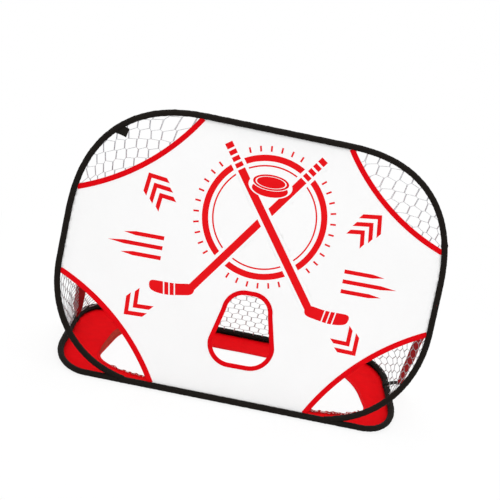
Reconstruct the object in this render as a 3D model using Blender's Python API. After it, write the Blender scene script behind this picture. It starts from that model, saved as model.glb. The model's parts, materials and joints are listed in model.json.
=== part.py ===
# Pop-up hockey practice goal: two spring-wire hoops in black fabric sleeves,
# a leaning front hoop that carries a white target sheet with five bound openings,
# a flat base hoop that carries a red ground mat, and a net between the two.
#
# Metres, +Z up. The goal's mouth faces -Y. The origin lies on the floor, under the
# middle of the whole goal's box.

import math

import bmesh
import bpy
from mathutils import Matrix, Vector
from mathutils.geometry import delaunay_2d_cdt

# Driving dimensions of the front hoop, measured in its own plane from the hinge axis
# to the middle of its sleeve.
FRONT_WIDTH = 1.200
FRONT_HEIGHT = 0.873
FRONT_LEAN_DEG = 12.2
FRONT_FOOT_HALF = 0.270
FRONT_LOW_CORNER_RISE = 0.346
FRONT_LOW_CORNER_POWER = 2.1
FRONT_TOP_HALF = 0.215
FRONT_TOP_CORNER_DROP = 0.395
FRONT_TOP_CORNER_POWER = 2.45

# Driving dimensions of the base hoop, on the floor.
BASE_WIDTH = 1.132
BASE_DEPTH = 0.578
BASE_FRONT_CORNER_WIDTH = 0.115
BASE_FRONT_CORNER_DEPTH = 0.200
BASE_REAR_CORNER_WIDTH = 0.080
BASE_REAR_CORNER_DEPTH = 0.170
ROUND_CORNER_POWER = 2.0

# Sleeves and wires. Sleeve sizes are across the flats of their faceted section.
SLEEVE_DIAMETER = 0.020
HINGE_SLEEVE_DIAMETER = 0.022
SLEEVE_WALL = 0.0012
GATHERED_SLEEVE_RADIUS = 0.0049
WIRE_DIAMETER = 0.0045
FERRULE_WALL = 0.00075
FERRULE_LENGTH = 0.050
WIRE_END_GAP = 0.001
BASE_TAPER_LENGTH = 0.030
WIRE_SETTLING_HEIGHT = 0.120

# Clearances.
FABRIC_GAP = 0.0003

# Target sheet and its bound openings.
SHEET_THICKNESS = 0.0008
BINDING_WIDTH = 0.0175
BINDING_TAPE = 0.0007
TOP_OPENING_WIDTH = 0.367
TOP_OPENING_HEIGHT = 0.287
LOW_OPENING_WIDTH = 0.354
LOW_OPENING_HEIGHT = 0.3325
OPENING_BOW = 0.040
FIVE_HOLE_CENTRE = 0.010
FIVE_HOLE_BOTTOM = 0.127
FIVE_HOLE_HEIGHT = 0.214
FIVE_HOLE_LOW_HALF = 0.0875
FIVE_HOLE_TOP_HALF = 0.0620
FIVE_HOLE_LOW_RADIUS = 0.058
FIVE_HOLE_TOP_RADIUS = 0.050
FIVE_HOLE_BINDING_WIDTH = 0.015

# Hang tab on the front hoop.
HANG_TAB_WIDTH = 0.021
HANG_TAB_LENGTH = 0.024
HANG_TAB_THICKNESS = 0.0024
HANG_TAB_FROM_TOP_MIDDLE = 0.525

# Ground mat.
MAT_THICKNESS = 0.0015
MAT_REAR_BAND = 0.148
MAT_SIDE_BAND = 0.120
MAT_FRONT_BAND = 0.065
MAT_HOLE_REAR_CORNER_WIDTH = 0.075
MAT_HOLE_REAR_CORNER_DEPTH = 0.170
MAT_HOLE_FRONT_CORNER_WIDTH = 0.210
MAT_HOLE_FRONT_CORNER_DEPTH = 0.120
MAT_TAPE_WIDTH = 0.012
MAT_TAPE_THICKNESS = 0.0008

# Net and stays. Heights are up the front hoop, depths are back from the hinge axis.
NET_EDGE_HEIGHT = 0.115
NET_EDGE_DEPTH = 0.285
NET_THICKNESS = 0.0020
NET_CORD_WIDTH = 0.0050
NET_HEM = 0.010
NET_GAP = 0.0007
NET_BACK_COLUMNS = 19
NET_BACK_ROWS = 9
NET_SIDE_COLUMNS = 2
NET_SIDE_ROWS = 5
STRAP_HEIGHT = 0.450
STRAP_DEPTH = 0.380
STRAP_WIDTH = 0.028
STRAP_THICKNESS = 0.0015
STRAP_GAP = 0.0008
ANCHOR_WIDTH = 0.024
ANCHOR_THICKNESS = 0.0012

# Facets.
SECTION_SIDES = 12
WIRE_SIDES = 8
CORNER_STEPS = 10
ARC_STEPS = 12

SLEEVE_RADIUS = SLEEVE_DIAMETER / 2
HINGE_RADIUS = HINGE_SLEEVE_DIAMETER / 2
WIRE_RADIUS = WIRE_DIAMETER / 2
FERRULE_BORE = WIRE_RADIUS + FABRIC_GAP
FERRULE_RADIUS = FERRULE_BORE + FERRULE_WALL
CORNER_REACH = 1 / math.cos(math.pi / SECTION_SIDES)
AXIS_HEIGHT = HINGE_RADIUS
LEAN = math.radians(FRONT_LEAN_DEG)
CENTRE_DEPTH = (BASE_DEPTH + SLEEVE_RADIUS - HINGE_RADIUS) / 2

BLACK_FABRIC = ("black_sleeve_fabric", (0.012, 0.009, 0.008), 0.75, 0.0)
RED_FABRIC = ("red_fabric", (0.79, 0.002, 0.006), 0.65, 0.0)
WHITE_FABRIC = ("white_sheet_fabric", (0.90, 0.90, 0.90), 0.60, 0.0)
NET_CORD = ("net_cord", (0.72, 0.73, 0.74), 0.70, 0.0)
SPRING_STEEL = ("spring_steel", (0.42, 0.42, 0.43), 0.35, 1.0)
CRIMP_STEEL = ("crimp_steel", (0.62, 0.62, 0.63), 0.30, 1.0)

ACROSS = Vector((1, 0, 0))


# Corners of a net gap, in shares of the step across and of the step down.
HEXAGON = [(0, 2 / 3), (-1 / 2, 1 / 3), (-1 / 2, -1 / 3), (0, -2 / 3), (1 / 2, -1 / 3), (1 / 2, 1 / 3)]
SMALLEST_GAP_SHARE = 0.2


class Route:
    """A polyline that is read by the length along it."""

    def __init__(self, points):
        self.points = [Vector(point) for point in points]
        self.lengths = [0.0]
        for near, far in zip(self.points, self.points[1:]):
            self.lengths.append(self.lengths[-1] + (far - near).length)
        self.total = self.lengths[-1]

    def span(self, length):
        for index in range(len(self.points) - 2):
            if length <= self.lengths[index + 1]:
                return index
        return len(self.points) - 2

    def at(self, length):
        index = self.span(length)
        near, far = self.points[index], self.points[index + 1]
        share = (length - self.lengths[index]) / (self.lengths[index + 1] - self.lengths[index])
        return near.lerp(far, share)

    def heading(self, length):
        index = self.span(length)
        return (self.points[index + 1] - self.points[index]).normalized()

    def part(self, start, end, extra=()):
        """Points from one length to another, with the corners between and extra stops."""
        stops = [length for length in self.lengths if start + 1e-6 < length < end - 1e-6]
        stops += [length for length in extra if start + 1e-6 < length < end - 1e-6]
        return [self.at(length) for length in [start] + sorted(stops) + [end]]

    def where(self, measure, value, start, end):
        """The length between two others where a rising measure of the point is a value."""
        low, high = start, end
        for _ in range(50):
            middle = (low + high) / 2
            if measure(self.at(middle)) < value:
                low = middle
            else:
                high = middle
        return (low + high) / 2


def corner(width, depth, power, steps):
    """A quarter of a rounded corner, as shares of run and rise from its start."""
    points = []
    for step in range(steps + 1):
        angle = math.pi / 2 * step / steps
        run = width * math.sin(angle) ** (2 / power)
        rise = depth * (1 - max(math.cos(angle), 0.0) ** (2 / power))
        points.append((run, rise))
    return points


def hoop_outline(half, low, high, low_corner, high_corner, steps=CORNER_STEPS):
    """A closed loop from the middle of its low edge, round by +X, symmetric in X.

    Each corner is its width, its depth and the power of its curve.
    """
    low_points = corner(*low_corner, steps)
    high_points = corner(*high_corner, steps)
    right = [(half - low_corner[0] + run, low + rise) for run, rise in low_points]
    right += [(half - high_corner[0] + run, high - rise) for run, rise in reversed(high_points)]
    left = [(-x, height) for x, height in reversed(right)]
    return [(0.0, low)] + right + [(0.0, high)] + left


def turned_sides(points, normal, closed):
    """The mitred inward side of each point of a loop that runs anticlockwise in its plane."""
    sides = []
    count = len(points)
    for index, point in enumerate(points):
        before = points[index - 1] if index or closed else None
        after = points[(index + 1) % count] if index < count - 1 or closed else None
        first = (point - before).normalized() if before is not None else (after - point).normalized()
        second = (after - point).normalized() if after is not None else first
        heading = (first + second).normalized()
        sides.append(normal.cross(heading) / heading.dot(first))
    return sides


def grown(outline, distance):
    """A closed flat outline with each edge moved outward by a distance."""
    points = [Vector((x, y, 0)) for x, y in outline]
    sides = turned_sides(points, Vector((0, 0, 1)), True)
    moved = [point - side * distance for point, side in zip(points, sides)]
    return [(point.x, point.y) for point in moved]


def make_material(finish):
    name, colour, roughness, metallic = finish
    if name in bpy.data.materials:
        return bpy.data.materials[name]
    material = bpy.data.materials.new(name)
    material.use_nodes = True
    material.diffuse_color = (*colour, 1)
    shader = material.node_tree.nodes["Principled BSDF"]
    shader.inputs["Base Color"].default_value = (*colour, 1)
    shader.inputs["Roughness"].default_value = roughness
    shader.inputs["Metallic"].default_value = metallic
    return material


def make_object(name, vertices, faces, finish, parent, smooth=False):
    mesh = bpy.data.meshes.new(name)
    mesh.from_pydata([tuple(vertex) for vertex in vertices], [], faces)
    shape = bmesh.new()
    shape.from_mesh(mesh)
    bmesh.ops.recalc_face_normals(shape, faces=shape.faces)
    shape.to_mesh(mesh)
    shape.free()
    if smooth:
        mesh.shade_smooth()
        mesh.set_sharp_from_angle(angle=math.radians(40))
    mesh.materials.append(make_material(finish))
    made = bpy.data.objects.new(name, mesh)
    made.parent = parent
    bpy.context.scene.collection.objects.link(made)
    return made


def make_empty(name, location, tilt=0.0):
    empty = bpy.data.objects.new(name, None)
    empty.location = location
    empty.rotation_euler = (tilt, 0, 0)
    bpy.context.scene.collection.objects.link(empty)
    return empty


def section(sides, across_flats_radius):
    """Section points, turned half a step so that flats face down, up and to both sides."""
    reach = across_flats_radius / math.cos(math.pi / sides)
    angles = [(step + 0.5) * 2 * math.pi / sides for step in range(sides)]
    return [(reach * math.cos(angle), reach * math.sin(angle)) for angle in angles]


def rings_along(points, normal, radii, sides, closed=False):
    """One ring of section points at each point of a route."""
    rings = []
    for point, side, radius in zip(points, turned_sides(points, normal, closed), radii):
        rings.append([point - side * out + normal * up for out, up in section(sides, radius)])
    return rings


def skinned(rings, first):
    """Quads between neighbouring rings whose vertices start at an index."""
    faces = []
    count = len(rings[0])
    for row in range(len(rings) - 1):
        for step in range(count):
            near = first + row * count + step
            near_next = first + row * count + (step + 1) % count
            faces.append((near, near_next, near_next + count, near + count))
    return faces


def rod(name, points, normal, radius, sides, finish, parent):
    """A solid round rod along a route."""
    rings = rings_along(points, normal, [radius] * len(points), sides)
    vertices = [vertex for ring in rings for vertex in ring]
    faces = skinned(rings, 0)
    faces.append(tuple(range(sides)))
    faces.append(tuple(range(len(vertices) - sides, len(vertices))))
    return make_object(name, vertices, faces, finish, parent, smooth=True)


def pipe(name, points, normal, radii, wall, sides, finish, parent):
    """A hollow tube along a route, open at both ends."""
    outer = rings_along(points, normal, radii, sides)
    inner = rings_along(points, normal, [radius - wall for radius in radii], sides)
    vertices = [vertex for ring in outer + inner for vertex in ring]
    offset = len(points) * sides
    faces = skinned(outer, 0)
    faces += skinned(inner, offset)
    last = (len(points) - 1) * sides
    for step in range(sides):
        after = (step + 1) % sides
        faces.append((step, after, offset + after, offset + step))
        faces.append((last + step, last + after, offset + last + after, offset + last + step))
    return make_object(name, vertices, faces, finish, parent, smooth=True)


def swept(name, rings, finish, parent, closed=False):
    """A solid whose like-numbered ring points are joined along its length."""
    count = len(rings[0])
    loop = rings + [rings[0]] if closed else rings
    faces = skinned(loop, 0)
    vertices = [vertex for ring in rings for vertex in ring]
    if closed:
        total = len(vertices)
        faces = [tuple(index % total for index in face) for face in faces]
    else:
        faces.append(tuple(range(count)))
        faces.append(tuple(range(len(vertices) - count, len(vertices))))
    return make_object(name, vertices, faces, finish, parent)


def inside(point, loop):
    """Whether a flat point lies inside a closed loop, counted by the edges to its right."""
    within = False
    for (x0, y0), (x1, y1) in zip(loop, loop[1:] + loop[:1]):
        if (y0 > point.y) != (y1 > point.y):
            if point.x < x0 + (point.y - y0) * (x1 - x0) / (y1 - y0):
                within = not within
    return within


def cut_sheet(outline, holes):
    """Triangles that fill a flat outline and leave its holes open."""
    coordinates = []
    edges = []
    for loop in [outline] + holes:
        start = len(coordinates)
        coordinates += [Vector(point) for point in loop]
        steps = range(start, start + len(loop))
        edges += list(zip(steps, list(steps)[1:] + [start]))
    points, _, triangles = delaunay_2d_cdt(coordinates, edges, [], 0, 1e-7, False)[:3]
    kept = []
    for triangle in triangles:
        middle = sum((points[index] for index in triangle), Vector((0, 0))) / 3
        if inside(middle, outline) and not any(inside(middle, hole) for hole in holes):
            kept.append(tuple(triangle))
    return points, kept


def plate(name, outline, holes, place, thickness, finish, parent):
    """A cut sheet, put in place point by point, with an even thickness about its middle."""
    points, faces = cut_sheet(outline, holes)
    vertices = [place(point.x, point.y) for point in points]
    made = make_object(name, vertices, faces, finish, parent)
    solidify = made.modifiers.new("Thickness", "SOLIDIFY")
    solidify.thickness = thickness
    solidify.offset = 0
    return made


def front_outline():
    half = FRONT_WIDTH / 2
    low = (half - FRONT_FOOT_HALF, FRONT_LOW_CORNER_RISE, FRONT_LOW_CORNER_POWER)
    high = (half - FRONT_TOP_HALF, FRONT_TOP_CORNER_DROP, FRONT_TOP_CORNER_POWER)
    return hoop_outline(half, 0.0, FRONT_HEIGHT, low, high)


def base_outline():
    low = (BASE_FRONT_CORNER_WIDTH, BASE_FRONT_CORNER_DEPTH, ROUND_CORNER_POWER)
    high = (BASE_REAR_CORNER_WIDTH, BASE_REAR_CORNER_DEPTH, ROUND_CORNER_POWER)
    return hoop_outline(BASE_WIDTH / 2, 0.0, BASE_DEPTH, low, high)


def upright(outline):
    """Outline points in the plane of the front hoop, whose parent empty leans."""
    return [Vector((x, 0, height)) for x, height in outline]


def flat(outline, height):
    return [Vector((x, depth, height)) for x, depth in outline]


# The front plane's normal points to the mouth's side, the floor's points up, so that
# both hoops run anticlockwise when their normal points at the viewer.
FRONT_NORMAL = Vector((0, -1, 0))
FLOOR_NORMAL = Vector((0, 0, 1))

FRONT_POINTS = upright(front_outline())
FRONT_ROUTE = Route(FRONT_POINTS + FRONT_POINTS[:1])
BASE_POINTS = flat(base_outline(), SLEEVE_RADIUS)
BASE_ROUTE = Route(BASE_POINTS + BASE_POINTS[:1])


def clear_of_base(height):
    """Sleeve radius that a front hoop point can have and still turn clear of the base."""
    free = (height - FABRIC_GAP) / CORNER_REACH - SLEEVE_RADIUS
    return min(SLEEVE_RADIUS, free)


def front_rise(point):
    return point.z


def wire_outset(height):
    """How far the front wire lies outside the middle of its sleeve."""
    full = SLEEVE_RADIUS - SLEEVE_WALL - WIRE_RADIUS - FABRIC_GAP
    share = min(max(height / WIRE_SETTLING_HEIGHT, 0.0), 1.0)
    return full * share * share * (3 - 2 * share)


def hinge_sleeve_half():
    """Half length of the shared sleeve: where the rising front wire meets its bore."""
    limit = HINGE_RADIUS - SLEEVE_WALL - WIRE_RADIUS * CORNER_REACH - FABRIC_GAP
    length = FRONT_ROUTE.where(front_rise, limit, FRONT_FOOT_HALF, FRONT_ROUTE.total / 4)
    return FRONT_ROUTE.at(length).x


HINGE_HALF = hinge_sleeve_half()


def make_front_wire(parent):
    """The front hoop's wire: a loop that starts and ends in the ferrule on the axis."""
    sides = turned_sides(FRONT_POINTS, FRONT_NORMAL, True)
    loop = [point - side * wire_outset(point.z) for point, side in zip(FRONT_POINTS, sides)]
    start = Vector((WIRE_END_GAP / 2, 0, 0))
    end = Vector((-WIRE_END_GAP / 2, 0, 0))
    points = [start] + loop[1:] + [end]
    rod("front_wire", points, FRONT_NORMAL, WIRE_RADIUS, WIRE_SIDES, SPRING_STEEL, parent)
    ends = [Vector((-FERRULE_LENGTH / 2, 0, 0)), Vector((FERRULE_LENGTH / 2, 0, 0))]
    pipe("front_wire_ferrule", ends, FRONT_NORMAL, [FERRULE_RADIUS] * 2, FERRULE_WALL,
         SECTION_SIDES, CRIMP_STEEL, parent)


def base_wire_height():
    """The wire rests in its ferrule, and the ferrule on the bottom of the sleeve."""
    return SLEEVE_WALL + FABRIC_GAP + FERRULE_RADIUS * CORNER_REACH


def make_base_wire(parent):
    """The base hoop's wire: a loop that starts and ends in the ferrule at the rear."""
    loop = flat(base_outline(), base_wire_height())
    rear = len(loop) // 2
    start = loop[rear] - ACROSS * (WIRE_END_GAP / 2)
    end = loop[rear] + ACROSS * (WIRE_END_GAP / 2)
    points = [start] + loop[rear + 1:] + loop[1:rear] + [end]
    rod("base_wire", points, FLOOR_NORMAL, WIRE_RADIUS, WIRE_SIDES, SPRING_STEEL, parent)
    half = ACROSS * (FERRULE_LENGTH / 2)
    pipe("base_wire_ferrule", [loop[rear] + half, loop[rear] - half], FLOOR_NORMAL,
         [FERRULE_RADIUS] * 2, FERRULE_WALL, SECTION_SIDES, CRIMP_STEEL, parent)


def make_front_sleeve(parent):
    """The front hoop's sleeve, gathered down on the wire where the two hoops meet."""
    quarter = FRONT_ROUTE.total / 4
    start = FRONT_ROUTE.where(lambda p: clear_of_base(p.z), GATHERED_SLEEVE_RADIUS, 0, quarter)
    full_height = SLEEVE_RADIUS * 2 * CORNER_REACH + FABRIC_GAP
    full = FRONT_ROUTE.where(front_rise, full_height, 0, quarter)
    stops = [full, FRONT_ROUTE.total - full]
    points = FRONT_ROUTE.part(start, FRONT_ROUTE.total - start, stops)
    radii = [clear_of_base(point.z) for point in points]
    pipe("front_sleeve", points, FRONT_NORMAL, radii, SLEEVE_WALL, SECTION_SIDES,
         BLACK_FABRIC, parent)


def make_base_sleeve(parent):
    """The base hoop's sleeve, from one end of the hinge sleeve round to the other."""
    start = HINGE_HALF + FABRIC_GAP
    stops = [start + BASE_TAPER_LENGTH, BASE_ROUTE.total - start - BASE_TAPER_LENGTH]
    points = BASE_ROUTE.part(start, BASE_ROUTE.total - start, stops)
    radii = []
    for point in points:
        share = 1.0
        if point.y < BASE_FRONT_CORNER_DEPTH:
            share = min((abs(point.x) + point.y - start) / BASE_TAPER_LENGTH, 1.0)
        radii.append(GATHERED_SLEEVE_RADIUS + (SLEEVE_RADIUS - GATHERED_SLEEVE_RADIUS) * share)
    for point, radius in zip(points, radii):
        point.z = radius
    pipe("base_sleeve", points, FLOOR_NORMAL, radii, SLEEVE_WALL, SECTION_SIDES,
         BLACK_FABRIC, parent)


def make_hinge_sleeve(parent):
    """The sleeve that both hoops share, where the front hoop turns."""
    ends = [Vector((-HINGE_HALF, 0, AXIS_HEIGHT)), Vector((HINGE_HALF, 0, AXIS_HEIGHT))]
    pipe("hinge_sleeve", ends, FLOOR_NORMAL, [HINGE_RADIUS] * 2, SLEEVE_WALL, SECTION_SIDES,
         BLACK_FABRIC, parent)


# The sheet's edge along the front sleeve, on the same stations as the sleeve's rings.
SHEET_EDGE = grown(front_outline(), -(SLEEVE_RADIUS + FABRIC_GAP))
SHEET_FOOT = HINGE_RADIUS * CORNER_REACH + FABRIC_GAP


def bowed_arc(first, second, bow):
    """Centre and radius of the arc through two points that bows toward the sheet's middle."""
    a, b = Vector(first), Vector(second)
    chord = (b - a).length
    radius = (chord * chord / 4 + bow * bow) / (2 * bow)
    middle = (a + b) / 2
    outward = Vector((middle.x, middle.y - FRONT_HEIGHT / 2))
    across = Vector((b.y - a.y, a.x - b.x)).normalized()
    if across.dot(outward) < 0:
        across = -across
    return middle + across * (radius - bow), radius


def corner_arc(top):
    """The middle line of the right-hand upper or lower opening's binding."""
    half = FRONT_WIDTH / 2
    if top:
        on_side = (half, FRONT_HEIGHT - TOP_OPENING_HEIGHT)
        on_edge = (half - TOP_OPENING_WIDTH, FRONT_HEIGHT)
        return bowed_arc(on_side, on_edge, OPENING_BOW)
    on_side = (half, LOW_OPENING_HEIGHT)
    on_edge = (half - LOW_OPENING_WIDTH, 0.0)
    return bowed_arc(on_side, on_edge, OPENING_BOW)


def right_edge():
    """The right half of the sheet's edge, from the foot up to the middle of the top."""
    half_count = len(SHEET_EDGE) // 2 + 1
    edge = [Vector(point) for point in SHEET_EDGE[:half_count]]
    foot = [Vector((0, SHEET_FOOT))] + [point for point in edge if point.y > SHEET_FOOT]
    before = edge[len(edge) - len(foot)]
    after = foot[1]
    share = (SHEET_FOOT - before.y) / (after.y - before.y)
    foot.insert(1, before.lerp(after, share))
    return foot


RIGHT_EDGE = right_edge()


def crossings(centre, radius):
    """The two points where a circle crosses the right half of the sheet's edge."""
    found = []
    for near, far in zip(RIGHT_EDGE, RIGHT_EDGE[1:]):
        run = far - near
        back = near - centre
        a = run.dot(run)
        b = 2 * back.dot(run)
        c = back.dot(back) - radius * radius
        inside = b * b - 4 * a * c
        if inside < 0:
            continue
        for sign in (-1, 1):
            share = (-b + sign * math.sqrt(inside)) / (2 * a)
            if 0 <= share < 1:
                found.append(near + run * share)
    return found


def arc_between(centre, radius, first, last, steps):
    """Points on an arc from one of its points to another, the short way."""
    start = math.atan2(first.y - centre.y, first.x - centre.x)
    turn = math.atan2(last.y - centre.y, last.x - centre.x) - start
    turn = (turn + math.pi) % (2 * math.pi) - math.pi
    angles = [start + turn * step / steps for step in range(steps + 1)]
    return [centre + Vector((math.cos(a), math.sin(a))) * radius for a in angles]


def opening_arc(top, offset):
    """Arc points at an offset from a corner binding's middle line, low end first."""
    centre, radius = corner_arc(top)
    ends = crossings(centre, radius + offset)
    first, last = sorted((ends[0], ends[-1]), key=lambda point: point.y)
    return arc_between(centre, radius + offset, first, last, ARC_STEPS)


def edge_between(low, high):
    """Corners of the sheet's right edge between two heights."""
    return [point for point in RIGHT_EDGE if low < point.y < high and point.x > FRONT_TOP_HALF]


def sheet_outline():
    """The whole sheet: its edges along the sleeves, and its four cut corners."""
    seat = -(BINDING_WIDTH / 2 - BINDING_TAPE - FABRIC_GAP)
    low_arc = opening_arc(False, seat)
    top_arc = opening_arc(True, seat)
    right = low_arc + edge_between(low_arc[-1].y, top_arc[0].y) + top_arc
    left = [Vector((-point.x, point.y)) for point in reversed(right)]
    return [(point.x, point.y) for point in right + left]


def five_hole_outline(growth):
    """The clear edge of the middle opening, grown by a distance."""
    low = FIVE_HOLE_BOTTOM
    high = FIVE_HOLE_BOTTOM + FIVE_HOLE_HEIGHT
    steps = CORNER_STEPS // 2
    low_corner = corner(FIVE_HOLE_LOW_RADIUS, FIVE_HOLE_LOW_RADIUS, ROUND_CORNER_POWER, steps)
    high_corner = corner(FIVE_HOLE_TOP_RADIUS, FIVE_HOLE_TOP_RADIUS, ROUND_CORNER_POWER, steps)
    low_start = FIVE_HOLE_LOW_HALF - FIVE_HOLE_LOW_RADIUS
    high_start = FIVE_HOLE_TOP_HALF - FIVE_HOLE_TOP_RADIUS
    right = [(low_start + run, low + rise) for run, rise in low_corner]
    right += [(high_start + run, high - rise) for run, rise in reversed(high_corner)]
    left = [(-x, height) for x, height in reversed(right)]
    return [(FIVE_HOLE_CENTRE + x, height) for x, height in grown(right + left, growth)]


def in_front_plane(x, height):
    return Vector((x, 0, height))


def make_target_sheet(parent):
    hole = five_hole_outline(BINDING_TAPE + FABRIC_GAP)
    plate("target_sheet", sheet_outline(), [hole], in_front_plane, SHEET_THICKNESS,
          WHITE_FABRIC, parent)


def folded_tape(rails):
    """Rings of a tape folded over the sheet's edge, from its three rails in the plane.

    The rails are the fold's outside, the fold's inside and the free edges of its two legs.
    """
    slot = SHEET_THICKNESS / 2 + FABRIC_GAP
    half = slot + BINDING_TAPE
    rings = []
    for fold, inside, free in zip(*rails):
        corners = [(fold, half), (free, half), (free, slot), (inside, slot),
                   (inside, -slot), (free, -slot), (free, -half), (fold, -half)]
        rings.append([Vector((point.x, out, point.y)) for point, out in corners])
    return rings


def make_corner_binding(name, top, side, parent):
    """The red tape along one corner opening; side is 1 on the right and -1 on the left."""
    half = BINDING_WIDTH / 2
    rails = [opening_arc(top, offset) for offset in (-half, BINDING_TAPE - half, half)]
    rings = folded_tape(rails)
    rings = [[Vector((corner.x * side, corner.y, corner.z)) for corner in ring] for ring in rings]
    swept(name, rings, RED_FABRIC, parent)


def make_five_hole_binding(parent):
    offsets = (0.0, BINDING_TAPE, FIVE_HOLE_BINDING_WIDTH)
    rails = [[Vector(point) for point in five_hole_outline(offset)] for offset in offsets]
    swept("five_hole_binding", folded_tape(rails), RED_FABRIC, parent, closed=True)


def make_hang_tab(parent):
    """A black webbing tab that points inward from the front sleeve, upper left."""
    index = FRONT_ROUTE.span(FRONT_ROUTE.total / 2 + HANG_TAB_FROM_TOP_MIDDLE)
    length = (FRONT_ROUTE.lengths[index] + FRONT_ROUTE.lengths[index + 1]) / 2
    seat = FRONT_ROUTE.at(length)
    along = FRONT_ROUTE.heading(length)
    inward = FRONT_NORMAL.cross(along)
    near = seat + inward * (SLEEVE_RADIUS + FABRIC_GAP)
    half_width = along * (HANG_TAB_WIDTH / 2)
    half_thick = FRONT_NORMAL * (HANG_TAB_THICKNESS / 2)
    rings = []
    for end in (near, near + inward * HANG_TAB_LENGTH):
        rings.append([end - half_width - half_thick, end + half_width - half_thick,
                      end + half_width + half_thick, end - half_width + half_thick])
    swept("hang_tab", rings, BLACK_FABRIC, parent)


def mat_hole(growth=0.0):
    low = (MAT_HOLE_FRONT_CORNER_WIDTH, MAT_HOLE_FRONT_CORNER_DEPTH, ROUND_CORNER_POWER)
    high = (MAT_HOLE_REAR_CORNER_WIDTH, MAT_HOLE_REAR_CORNER_DEPTH, ROUND_CORNER_POWER)
    half = BASE_WIDTH / 2 - MAT_SIDE_BAND
    outline = hoop_outline(half, MAT_FRONT_BAND, BASE_DEPTH - MAT_REAR_BAND, low, high)
    return grown(outline, growth)


def mat_edge():
    """How far from the sleeve's middle line the mat's edge lies, under the sleeve's side."""
    flat_half = HINGE_RADIUS * math.tan(math.pi / SECTION_SIDES)
    return flat_half + MAT_THICKNESS / math.tan(2 * math.pi / SECTION_SIDES) + FABRIC_GAP


def make_ground_mat(parent):
    def on_floor(x, depth):
        return Vector((x, depth, MAT_THICKNESS / 2))

    outline = grown(base_outline(), -mat_edge())
    plate("ground_mat", outline, [mat_hole()], on_floor, MAT_THICKNESS, RED_FABRIC, parent)


def make_mat_tape(parent):
    """The flat tape sewn on the mat, round its hole."""
    low = MAT_THICKNESS + FABRIC_GAP
    high = low + MAT_TAPE_THICKNESS
    rings = []
    for inner, outer in zip(mat_hole(), mat_hole(MAT_TAPE_WIDTH)):
        corners = [(inner, low), (outer, low), (outer, high), (inner, high)]
        rings.append([Vector((*point, height)) for point, height in corners])
    swept("mat_inner_tape", rings, RED_FABRIC, parent, closed=True)


# The front hoop's middle line at rest, in the base's own directions.
LEANING = Matrix.Translation((0, 0, AXIS_HEIGHT)) @ Matrix.Rotation(-LEAN, 4, "X")
LEANING_ROUTE = Route([LEANING @ point for point in FRONT_ROUTE.points])


def front_length(height):
    """Length along the front hoop, from its foot's middle, to a height on its right side."""
    return FRONT_ROUTE.where(front_rise, height, 0, FRONT_ROUTE.total / 2)


def base_length(depth):
    return BASE_ROUTE.where(lambda point: point.y, depth, 0, BASE_ROUTE.total / 2)


def net_stations():
    """Matching lengths on the two hoops: free edge, strap and middle, on the right."""
    front = [front_length(NET_EDGE_HEIGHT), front_length(STRAP_HEIGHT), FRONT_ROUTE.total / 2]
    base = [base_length(NET_EDGE_DEPTH), base_length(STRAP_DEPTH), BASE_ROUTE.total / 2]
    return front, base


NET_FRONT, NET_BASE = net_stations()


def net_line(stop):
    """The net's line between the hoops; stop runs 0 free edge, 1 strap, 2 middle, 4 other edge."""
    mirrored = stop > 2
    local = 4 - stop if mirrored else stop
    index = 0 if local < 1 else 1
    share = local - index
    front_at = NET_FRONT[index] + (NET_FRONT[index + 1] - NET_FRONT[index]) * share
    base_at = NET_BASE[index] + (NET_BASE[index + 1] - NET_BASE[index]) * share
    if mirrored:
        front_at = FRONT_ROUTE.total - front_at
        base_at = BASE_ROUTE.total - base_at
    top = LEANING_ROUTE.at(front_at)
    foot = BASE_ROUTE.at(base_at)
    run = (foot - top).normalized()
    return top, foot, run, LEANING_ROUTE.heading(front_at), BASE_ROUTE.heading(base_at)


def trimmed_line(stop, top_reach, foot_reach):
    """A net line cut back so that its ends clear both sleeves by their reach."""
    top, foot, run, top_heading, foot_heading = net_line(stop)
    top_cut = top_reach / run.cross(top_heading).length
    foot_cut = foot_reach / run.cross(foot_heading).length
    return top + run * top_cut, foot - run * foot_cut


NET_REACH = SLEEVE_RADIUS * CORNER_REACH + NET_GAP
ANCHOR_REACH = (SLEEVE_RADIUS + FABRIC_GAP + ANCHOR_THICKNESS) * CORNER_REACH + FABRIC_GAP


def net_point(stop, share):
    top, foot = trimmed_line(stop, NET_REACH, NET_REACH)
    return top.lerp(foot, share)


def aside_of(stop, share, direction):
    """How the net moves aside of a net line for each stop, square to the line."""
    step = 0.01 * direction
    run = net_line(stop)[2]
    move = (net_point(stop + step, share) - net_point(stop, share)) / step
    return move - run * move.dot(run)


def strap_margin(stop, share, direction):
    """How far past the strap's line, in stops, the net starts beside the strap."""
    clear = STRAP_WIDTH / 2 + STRAP_GAP
    return direction * clear / aside_of(stop, share, direction).length


def clipped(polygon, low, high):
    """The part of a flat polygon that lies between two values in both directions."""
    for axis in (0, 1):
        for limit, keep in ((low[axis], 1), (high[axis], -1)):
            kept = []
            for start, end in zip(polygon, polygon[1:] + polygon[:1]):
                from_limit = keep * (start[axis] - limit)
                to_limit = keep * (end[axis] - limit)
                if from_limit >= 0:
                    kept.append(start)
                if from_limit * to_limit < 0:
                    share = from_limit / (from_limit - to_limit)
                    kept.append(tuple(a + (b - a) * share for a, b in zip(start, end)))
            polygon = kept
    return polygon


def flat_area(polygon):
    turns = zip(polygon, polygon[1:] + polygon[:1])
    return abs(sum(x0 * y1 - x1 * y0 for (x0, y0), (x1, y1) in turns)) / 2


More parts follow.
